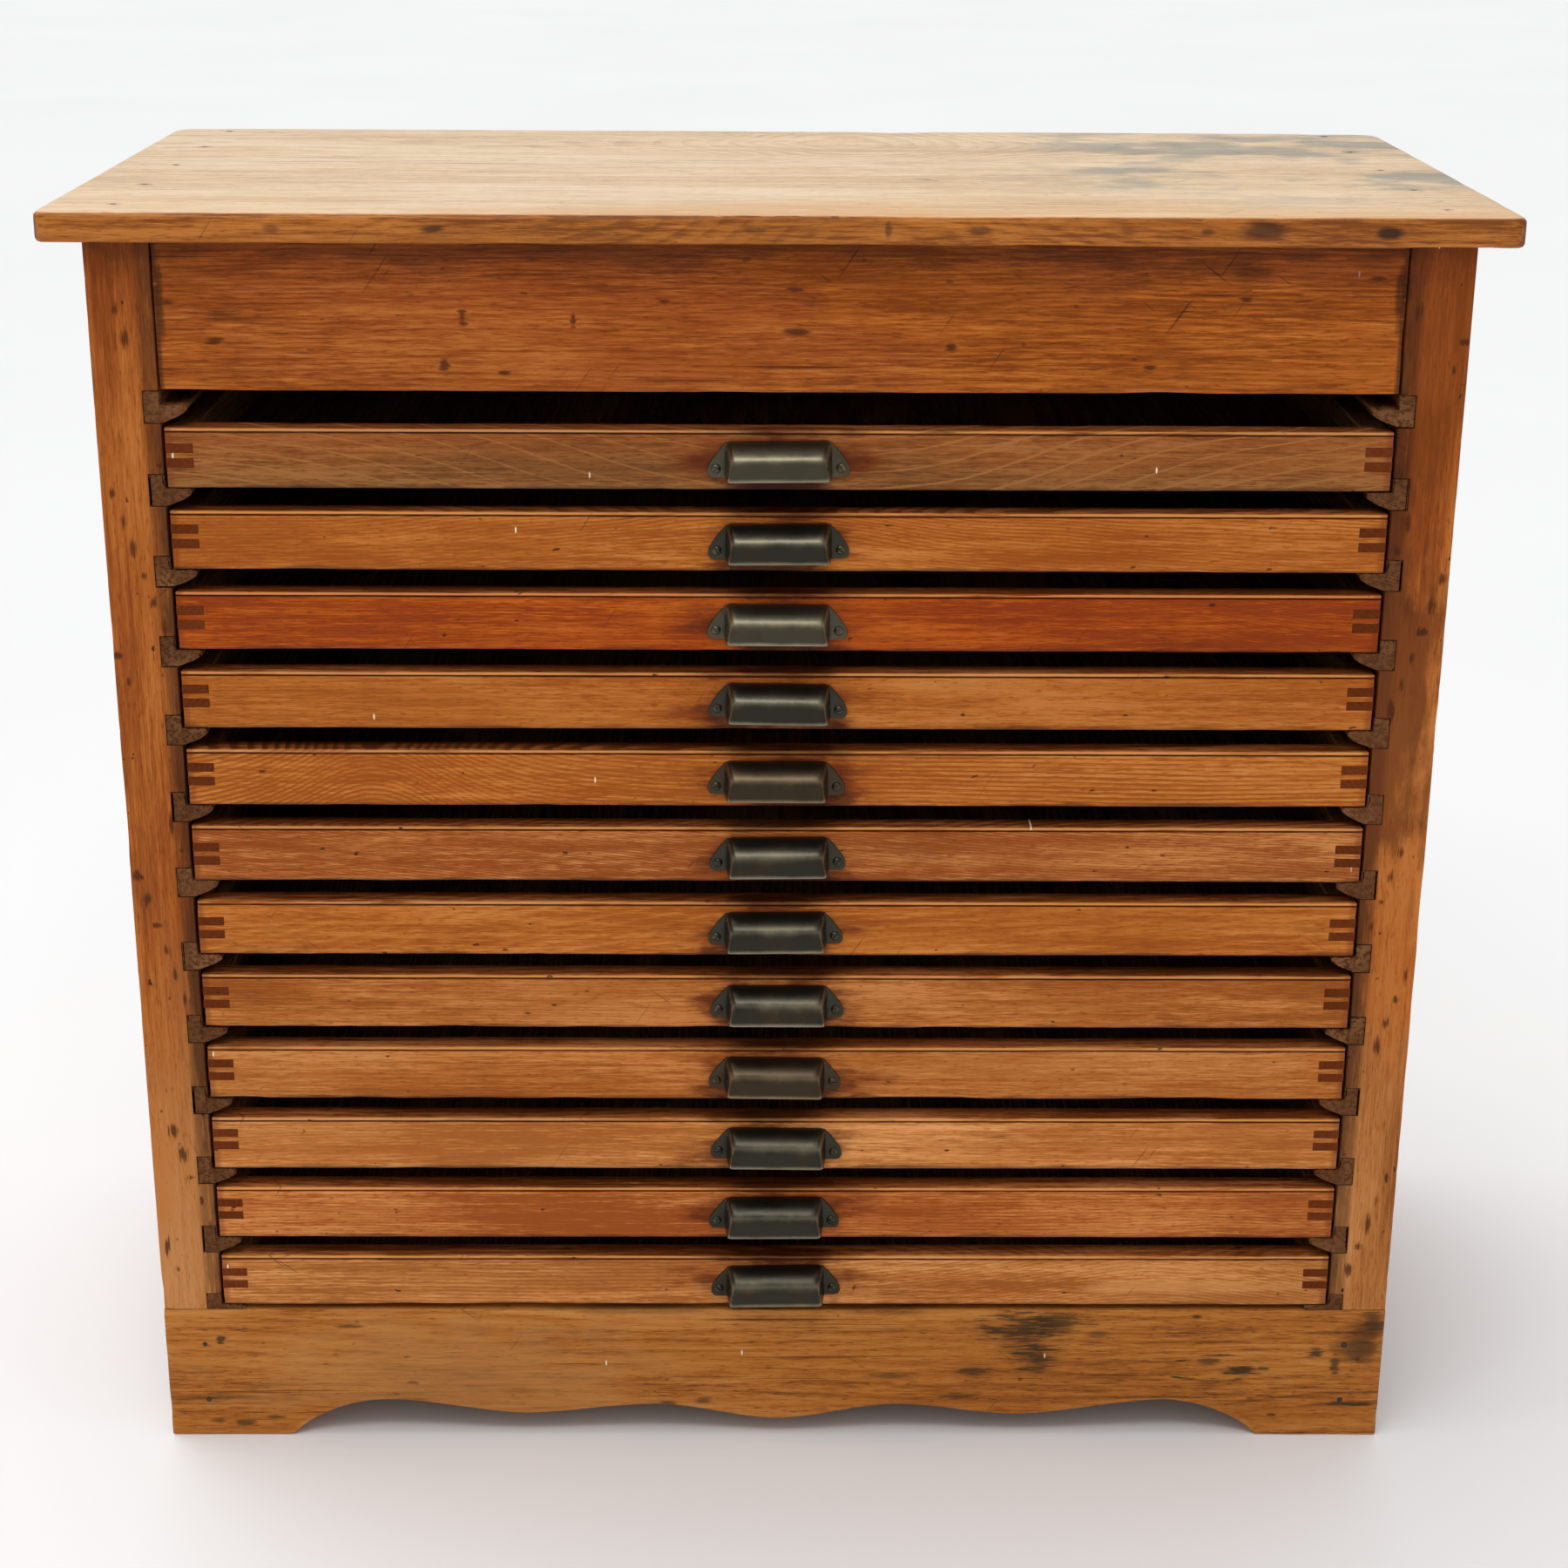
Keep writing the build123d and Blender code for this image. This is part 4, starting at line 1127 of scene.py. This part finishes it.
def frieze_marks():
    """Dirt along the frieze's ends, a painted shadow under the top's overhang, and small dents."""
    marks = [line(X, side * (OPENING - 1 * MM), 3.0, GRIME_AND_SHADE, 0.7) for side in (-1, 1)]
    # the first row is a painted shadow: a dark band along the frieze right under the top
    marks += face_marks(GRIME_AND_SHADE, spot_mask, (
        (0.0, CASE_TOP, 1200, 20, 0.5), (-0.40, 0.931, 16, 5, 0.4), (0.447, 0.95, 4, 30, 0.7),
        (-0.447, 0.94, 4, 40, 0.7), (0.34, 0.965, 20, 6, 0.4)))
    for x, z, wide, tall in (
        (0.010, 0.951, 6, 2.5), (0.012, 0.920, 9, 3), (-0.084, 0.942, 6, 2), (0.123, 0.910, 4, 3),
        (0.268, 0.895, 5, 2), (-0.442, 0.940, 8, 3), (-0.410, 0.912, 6, 2.5), (-0.244, 0.896, 4, 6),
        (-0.200, 0.890, 5, 2), (-0.230, 0.930, 3, 5), (0.430, 0.960, 6, 3), (-0.150, 0.930, 2, 7),
        (0.335, 0.945, 4, 2),
    ):
        marks.append(face_mark(x, z, wide, tall, DENT, 0.85, scar_mask))
    return marks


def plinth_marks():
    """A paler left half, the torn stain of a knot right of the middle, and damp and gouges on the feet."""
    marks = [face_mark(-0.27, 0.06, 210, 60, PLINTH_PALE, 0.45)]
    marks += face_marks(GRIME_AND_SHADE, spot_mask, (
        (0.48, 0.09, 20, 30, 0.5), (0.08, 0.117, 60, 4, 0.4), (-0.10, 0.117, 60, 4, 0.4)))
    marks += face_marks(SCAR, scar_mask, (
        (0.200, 0.098, 32, 17, 0.9), (0.232, 0.105, 24, 12, 0.8), (0.215, 0.072, 20, 12, 0.9),
        (0.163, 0.060, 16, 7, 0.8), (0.265, 0.096, 14, 5, 0.6), (0.150, 0.036, 18, 5, 0.7),
        (0.345, 0.112, 4, 2, 0.9), (0.385, 0.062, 14, 5, 0.95), (0.358, 0.070, 8, 4, 0.7),
        (0.445, 0.078, 6, 4, 0.9), (0.462, 0.066, 4, 10, 0.8), (0.462, 0.097, 7, 3, 0.9),
        (0.485, 0.085, 14, 22, 0.6), (0.492, 0.108, 9, 12, 0.7), (0.475, 0.030, 26, 2.5, 0.95),
        (0.412, 0.020, 4, 2, 0.8), (-0.44, 0.012, 11, 4, 0.8), (-0.415, 0.016, 9, 3, 0.8),
        (-0.46, 0.014, 7, 3, 0.7), (-0.455, 0.09, 4, 4, 0.9), (-0.35, 0.103, 8, 2, 0.7),
        (-0.09, 0.03, 8, 3, 0.7), (-0.06, 0.033, 7, 3, 0.6), (0.095, 0.056, 18, 4, 0.6),
        (-0.30, 0.05, 5, 2, 0.6)))
    return marks + [face_mark(0.362, 0.064, 38, 12, SCAR, 0.9, knot_mask)]


def post_marks(side):
    """Grime along the inner edge, a painted shadow under the overhang, old dents, and painted shade on the
    right-hand post.
    """
    marks = [line(X, side * (OPENING + 5 * MM), 7, GRIME_AND_SHADE, 0.55),
             (spot_mask, ((side * (OPENING + 1 * MM), FRONT, 0.55), (8 * MM, 40 * MM, 0.55)), GRIME_AND_SHADE, 0.6),
             # painted shadow across the top of the post, under the top's overhang
             (spot_mask, ((side * 0.476, FRONT, CASE_TOP), (0.08, 40 * MM, 18 * MM)), GRIME_AND_SHADE, 0.35)]
    # painted shade: the right-hand post is darker over its middle, as if lit from the left
    if side > 0:
        marks.append(face_mark(0.47, 0.64, 40, 150, PAINTED_SHADE, 0.8))
    for k in range(26):
        x = side * (OPENING + (3 + 42 * (k * 0.618 % 1)) * MM)
        z = 0.14 + 0.80 * ((k * 0.3247 + 0.15 * side) % 1)
        wide, tall = 1.6 + 2.4 * (k * 0.71 % 1), 2.5 + 6.5 * (k * 0.43 % 1)
        marks.append(face_mark(x, z, wide, tall, DENT, 0.85, scar_mask))
    return marks


# kind of wood, gain, ring width in mm, ring strength, heart (behind, above), arch, wave in mm, blotch
FACES = {
    1: (GREY_BROWN, 0.94, 12.0, -0.80, (0.10, 0.30), (0.02, 0.45, 0.35), 16, 0.35),
    2: (HONEY, 0.95, 2.4, 0.45, (0.03, -0.06), (-0.05, 0.18, 0.20), 16, 0.45),
    3: (RED, 0.97, 2.2, 0.20, (0.09, -0.20), (0.30, 0.30, 0.08), 6, 0.40),
    4: (HONEY, 0.92, 3.0, 0.15, (0.12, -0.25), (0.0, 0.0, 0.1), 6, 0.40),
    5: (HONEY, 0.99, 3.6, 1.00, (0.03, -0.14), (-0.31, 0.80, 0.08), 5, 0.40),
    6: (ROSY, 0.98, 2.2, 0.40, (0.08, -0.22), (-0.60, 0.24, 0.60), 6, 0.40),
    7: (HONEY, 1.00, 7.0, -0.25, (0.10, 0.22), (-0.60, 0.35, 0.50), 8, 0.40),
    8: (DULL_GOLD, 0.95, 2.4, 0.25, (0.08, -0.20), (0.20, 0.10, 0.20), 8, 0.55),
    9: (DULL_GOLD, 1.00, 3.2, 0.20, (0.10, 0.24), (0.0, 0.0, 0.1), 8, 0.50),
    10: (PALE_GOLD, 1.28, 2.8, 0.20, (0.10, -0.24), (-0.20, 0.10, 0.20), 8, 0.45),
    11: (ROSY, 1.16, 2.4, 0.25, (0.07, 0.20), (0.0, 0.0, 0.1), 8, 0.50),
    12: (PALE_GOLD, 1.18, 3.0, 0.35, (0.06, -0.16), (0.30, 0.35, 0.15), 8, 0.50),
}


def face_wood(number):
    """The wood of one drawer front: no two of the twelve are from the same board."""
    tones, gain, ring, rings, heart, arch, wave, blotch = FACES[number]
    level = LEVELS[number - 1]
    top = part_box(drawer_name(number, "front"))[1].z
    # a painted shadow darkens the quirk under the bead; the pale line along the bead is both worn wood and a
    # painted highlight
    marks = [line(Z, top - 3.3 * MM, 0.55, GRIME_AND_SHADE, 0.85), line(Z, top - 1.5 * MM, 0.8, PALE_WEAR_AND_HIGHLIGHT, 0.7),
             line(X, -HALF_FRONT, 5, RED_HALO, 0.5), line(X, HALF_FRONT, 5, RED_HALO, 0.5)]
    marks += hand_marks(level)
    marks.append(face_mark(0.0, level - 0.5 * MM, 1000, 3.5, GRIME_AND_SHADE, 0.6))
    lower = {}
    if number == 1:
        lower = {"lower": OLIVE, "lower_from": (level + 0.038, level + 0.008), "lower_drift": 0.12}
    if number == 12:
        marks.append(face_mark(0.33, level + 17 * MM, 110, 7, PALE_WEAR_AND_HIGHLIGHT, 0.6))
    return wood(f"face_wood_{number:02d}", tones, X, gain=gain, marks=marks, upper=FRONT_TOP, fibre=1.15,
                flecks=0.9, blotch=blotch, ruddy=0.45, grime=0.35, scratches=0.4, dents=0.85, drips=0.05,
                rough=0.42, ring=ring * MM, rings=rings, heart=(FRONT + heart[0], level + heart[1]),
                arch=arch, wave=wave * MM, thin_lines=number == 1, **lower)


# ---------------------------------------------------------------- build everything
def build_front():
    """The top, the frieze and the plinth."""
    top = wood("top_wood", TOP_EDGE, X, gain=0.82, seed=1.0, marks=top_marks(), upper=TOP_FACE,
               extra=top_stains, fibre=1.3, flecks=0.7, blotch=0.30, grime=0.10, scratches=0.5, cracks=0.9,
               rough=0.36, shine=0.22, ring=6.0 * MM, rings=0.3, heart=(0.16, 0.80), arch=(0.06, 0.5, 0.14),
               wave=12 * MM)
    place_piece(top_board(), "case", top, "top_wood", "top_board")
    frieze = wood("frieze_wood", FRIEZE, X, gain=0.92, seed=2.0, marks=frieze_marks(), lower=FRIEZE_LOWER,
                  lower_from=(0.94, 0.88), grime=0.35, scratches=0.6, cracks=0.6, drips=0.03, rough=0.44,
                  ring=3.4 * MM, rings=0.2, heart=(FRONT + 0.10, 0.70), wave=10 * MM)
    place_piece(frieze_board(), "case", frieze, "dark_pine", "frieze_board")
    plinth = wood("plinth_wood", PLINTH, X, gain=1.15, seed=3.0, marks=plinth_marks(), fibre=0.6, blotch=0.25,
                  ruddy=0.15, cracks=0.6, drips=0.03, rough=0.48, ring=8.0 * MM, rings=0.18,
                  heart=(FRONT + 0.09, -0.05), wave=20 * MM)
    place_piece(plinth_board(), "case", plinth, "golden_pine", "plinth_board")


def build_side(side, name):
    """A front post, a back post, two rails, a panel and a set of runners."""
    seed = 5.0 + side
    post = wood(f"post_wood_{name}", POST_RED, Z, gain=0.97 + 0.03 * side, seed=seed, marks=post_marks(side),
                lower=POST_GOLD, lower_from=(0.52, 0.24), fibre=0.6, blotch=0.65, ruddy=0.5, grime=0.6,
                dents=0.9, drips=0.04, ring=5.0 * MM, rings=0.10, heart=(side * 0.40, FRONT + 0.08),
                wave=8 * MM)
    place_piece(front_post(side, name, seed), "case", post, "red_pine", f"front_{name}_post")
    back = wood(f"back_post_wood_{name}", POST_RED, Z, gain=0.9, seed=seed + 8, lower=POST_GOLD, blotch=0.45,
                grime=0.45, rough=0.5, ring=4.0 * MM, rings=0.2, heart=(side * 0.40, 0.3))
    place_piece(back_post(side, name, seed + 2), "case", back, "red_pine", f"back_{name}_post")
    rails = wood(f"side_rail_wood_{name}", POST_RED, Y, gain=0.95, seed=seed + 16, blotch=0.45, grime=0.4,
                 rough=0.48, ring=3.5 * MM, rings=0.25, heart=(0.4, side * 0.42))
    for node in (f"{name}_side_top_rail", f"{name}_side_bottom_rail"):
        place_piece(side_rail(node, seed + 3), "case", rails, "red_pine", node)
    node = f"{name}_side_panel"
    panel = wood(f"side_panel_wood_{name}", RUSSET, Z, gain=0.92, seed=seed + 24, blotch=0.4, grime=0.35,
                 marks=[line(Y, PANEL_JOINT, 0.8, GRIME_AND_SHADE, 0.8)], ring=6.0 * MM, heart=(side * 0.60, 0.02),
                 wave=18 * MM, boards=(Y, PANEL_JOINT, 1.0))
    place_piece(side_panel(f"{name}_panel_boards", node, seed + 5), "case", panel, "red_pine", node)
    strip = wood(f"runner_wood_{name}", RUNNER_END, Y, gain=0.9, seed=seed + 32, end_tones=RUNNER_END,
                 blotch=0.6, grime=0.5, rough=0.6, pale_wear=0.5, ring=2.4 * MM, rings=0.3,
                 heart=(0.5, side * 0.38))
    place_piece(runners(side, name, 80.0 + 10 * side), "case", strip, "dark_pine", f"{name}_runners")


def build_back_and_bottom():
    """The back's boards and rails, the bottom with its cleats, and the stops."""
    width = (BOARDS_HIGH.x - BOARDS_LOW.x) / BOARD_COUNT
    joints = [line(X, BOARDS_LOW.x + i * width, 0.9, GRIME_AND_SHADE, 0.85) for i in range(1, BOARD_COUNT)]
    back_wood = wood("back_wood", BARE, Z, gain=0.9, seed=50.0, marks=joints, grime=0.35, rough=0.62,
                     ring=5.5 * MM, rings=0.4, heart=(0.1, 0.34), wave=18 * MM,
                     boards=(X, BOARDS_LOW.x, width))
    place_piece(back_boards(), "case", back_wood, "raw_pine", "back_boards")
    inside_wood = wood("inside_wood", BARE, X, gain=0.85, seed=60.0, blotch=0.5, grime=0.5, rough=0.65,
                       ring=5.0 * MM, heart=(0.2, 0.4))
    for node in BACK_RAILS:
        low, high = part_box(node)
        low.x, high.x = -OPENING, OPENING
        rail = plank(node + "_worn", X, low, high, wear=0.9 * MM, step=14 * MM, seed=31.0)
        place_piece(rail, "case", inside_wood, "raw_pine", node)
    low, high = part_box("bottom_board")
    bottom = plank("bottom_board_worn", X, low, high, across=22 * MM, step=22 * MM, wear=0.8 * MM, seed=33.0)
    place_piece(bottom, "case", inside_wood, "raw_pine", "bottom_board")
    dress_node("bottom_cleats", inside_wood, 1.0 * MM)
    dress_node("drawer_stops", inside_wood, 0.6 * MM)


def nail_places():
    """Where the top is nailed down to the posts and rails, in plan."""
    x = CASE_HALF - TOP_NAIL_IN
    return [(side * x, y) for side in (-1, 1) for y in TOP_NAIL_YS]


def build_nails():
    iron = old_metal("nail_iron_rusted", (46, 38, 32), (88, 74, 62), 0.6, metallic=0.6)
    width = (BOARDS_HIGH.x - BOARDS_LOW.x + BOARD_GAP) / BOARD_COUNT
    heights = [sum(corner.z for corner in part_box(node)) / 2 for node in BACK_RAILS]
    for name, outward, seed, places in (
        ("top", (0, 0, 1), 4.0, [(x, y, TOP_HIGH.z - 0.15 * MM) for x, y in nail_places()]),
        ("plinth", (0, -1, 0), 6.0, [(side * (CASE_HALF - PLINTH_NAIL_IN), FRONT + 0.1 * MM, z)
                                     for side in (-1, 1) for z in PLINTH_NAIL_ZS]),
        ("back", (0, 1, 0), 8.0, [(BOARDS_LOW.x + i * width + into, BOARDS_HIGH.y - 0.1 * MM, z)
                                  for i in range(BOARD_COUNT) for into in (BACK_NAIL_IN, width - BACK_NAIL_IN)
                                  for z in heights]),
    ):
        heads = nail_heads(f"{name}_nail_heads", places, outward, seed)
        place_piece(heads, "case", iron, "nail_iron", f"{name}_nails")


def build_drawers():
    tray_wood = wood("tray_wood", BARE, Y, gain=0.85, seed=61.0, end_tones=FINGER_END, blotch=0.45, grime=0.4,
                     rough=0.6, ring=4.0 * MM, rings=0.25, heart=(0.3, 0.1))
    black = old_metal("pull_metal_black", (54, 52, 43), (132, 124, 102), 0.32, seed=2.0)
    rubbed = old_metal("pull_metal_rubbed", (76, 71, 57), (150, 140, 115), 0.36)
    brown = old_metal("pull_metal_brown", (64, 53, 40), (136, 115, 87), 0.36, seed=4.0)
    for number in DRAWERS:
        body = f"drawer_{number:02d}"
        place_piece(drawer_front(number), body, face_wood(number), "golden_pine",
                    drawer_name(number, "front"))
        dress_node(drawer_name(number, "tray"), tray_wood, 0.7 * MM)
        tilt = (0.012 * math.sin(number * 5.1), -1.2 * MM + 0.8 * MM * math.sin(number * 3.3))
        metal = {1: rubbed, 3: rubbed, 5: brown, 9: brown}.get(number, black)
        place_piece(cup(number, tilt), body, metal, "pull_bronze", drawer_name(number, "pull"))
        place_piece(ears_and_screws(number, tilt), body, metal, "pull_bronze")


# ---------------------------------------------------------------- studio
# how strong the sky's light is, and how bright the camera sees it
SKY_LIGHT = 0.58
SKY_SEEN = 0.93


def aim(thing, target):
    direction = Vector(target) - thing.location
    thing.rotation_euler = direction.to_track_quat("-Z", "Y").to_euler()


def floor():
    """A wide pale floor."""
    mesh = bpy.data.meshes.new("studio_floor")
    reach = 60.0
    mesh.from_pydata([(-reach, -reach, 0), (reach, -reach, 0), (reach, reach, 0), (-reach, reach, 0)], [],
                     [(0, 1, 2, 3)])
    s = Shader("pale_floor")
    cloud = s.noise(s.here * (0.8, 0.8, 0.8), detail=3.0)
    tones = [(0.3, (0.925, 0.928, 0.932, 1)), (0.7, (0.945, 0.948, 0.952, 1))]
    s.give(Base_Color=s.ramp(cloud, tones), Roughness=0.9, Specular_IOR_Level=0.1)
    mesh.materials.append(s.material)
    placed("studio_floor", mesh)


def lights():
    """An even white sky, with soft light from above, left and a little behind."""
    world = bpy.data.worlds.new("studio")
    world.use_nodes = True
    nodes, links = world.node_tree.nodes, world.node_tree.links
    nodes["Background"].inputs["Color"].default_value = (1.0, 1.0, 1.0, 1.0)
    # it's seen brighter than it lights, so that the floor's far edge doesn't show
    level = nodes.new("ShaderNodeMath")
    level.operation = "MULTIPLY_ADD"
    level.inputs[1].default_value = SKY_SEEN - SKY_LIGHT
    level.inputs[2].default_value = SKY_LIGHT
    links.new(nodes.new("ShaderNodeLightPath").outputs["Is Camera Ray"], level.inputs[0])
    links.new(level.outputs[0], nodes["Background"].inputs["Strength"])
    bpy.context.scene.world = world

    overhead = bpy.data.lights.new("overhead", "SUN")
    overhead.energy = 1.45
    overhead.angle = math.radians(70)
    lamp = placed("overhead", overhead)
    lamp.location = (-1.2, 1.2, 3.0)
    aim(lamp, (0.0, 0.0, 0.0))

    # a small soft lamp in front gives the pulls their highlights
    highlight = bpy.data.lights.new("highlight", "AREA")
    highlight.shape = "RECTANGLE"
    highlight.size, highlight.size_y = 1.8, 0.7
    highlight.energy = 22
    lamp = placed("highlight", highlight)
    lamp.location = (-0.5, -1.9, 3.1)
    aim(lamp, (0, FRONT, 0.5))
    bpy.context.scene.view_settings.view_transform = "Standard"


def camera():
    """The camera looks down on the front from a little left of the middle."""
    yaw, pitch, roll = math.radians(0.572), math.radians(19.417), math.radians(0.338)
    lens = bpy.data.cameras.new("camera")
    lens.sensor_width = 36.0
    lens.lens = 64.14
    viewer = placed("camera", lens)
    forward = Vector((math.sin(yaw) * math.cos(pitch), math.cos(yaw) * math.cos(pitch), -math.sin(pitch)))
    level = Vector((math.cos(yaw), -math.sin(yaw), 0.0))
    up = level.cross(forward)
    right = level * math.cos(roll) + up * math.sin(roll)
    up = up * math.cos(roll) - level * math.sin(roll)
    turn = Matrix((right, up, -forward)).transposed()
    viewer.matrix_world = Matrix.Translation((-0.016, FRONT - 2.0123, 1.2837)) @ turn.to_4x4()
    bpy.context.scene.camera = viewer


build_front()
build_side(-1, "left")
build_side(1, "right")
build_back_and_bottom()
build_nails()
build_drawers()
floor()
lights()
camera()
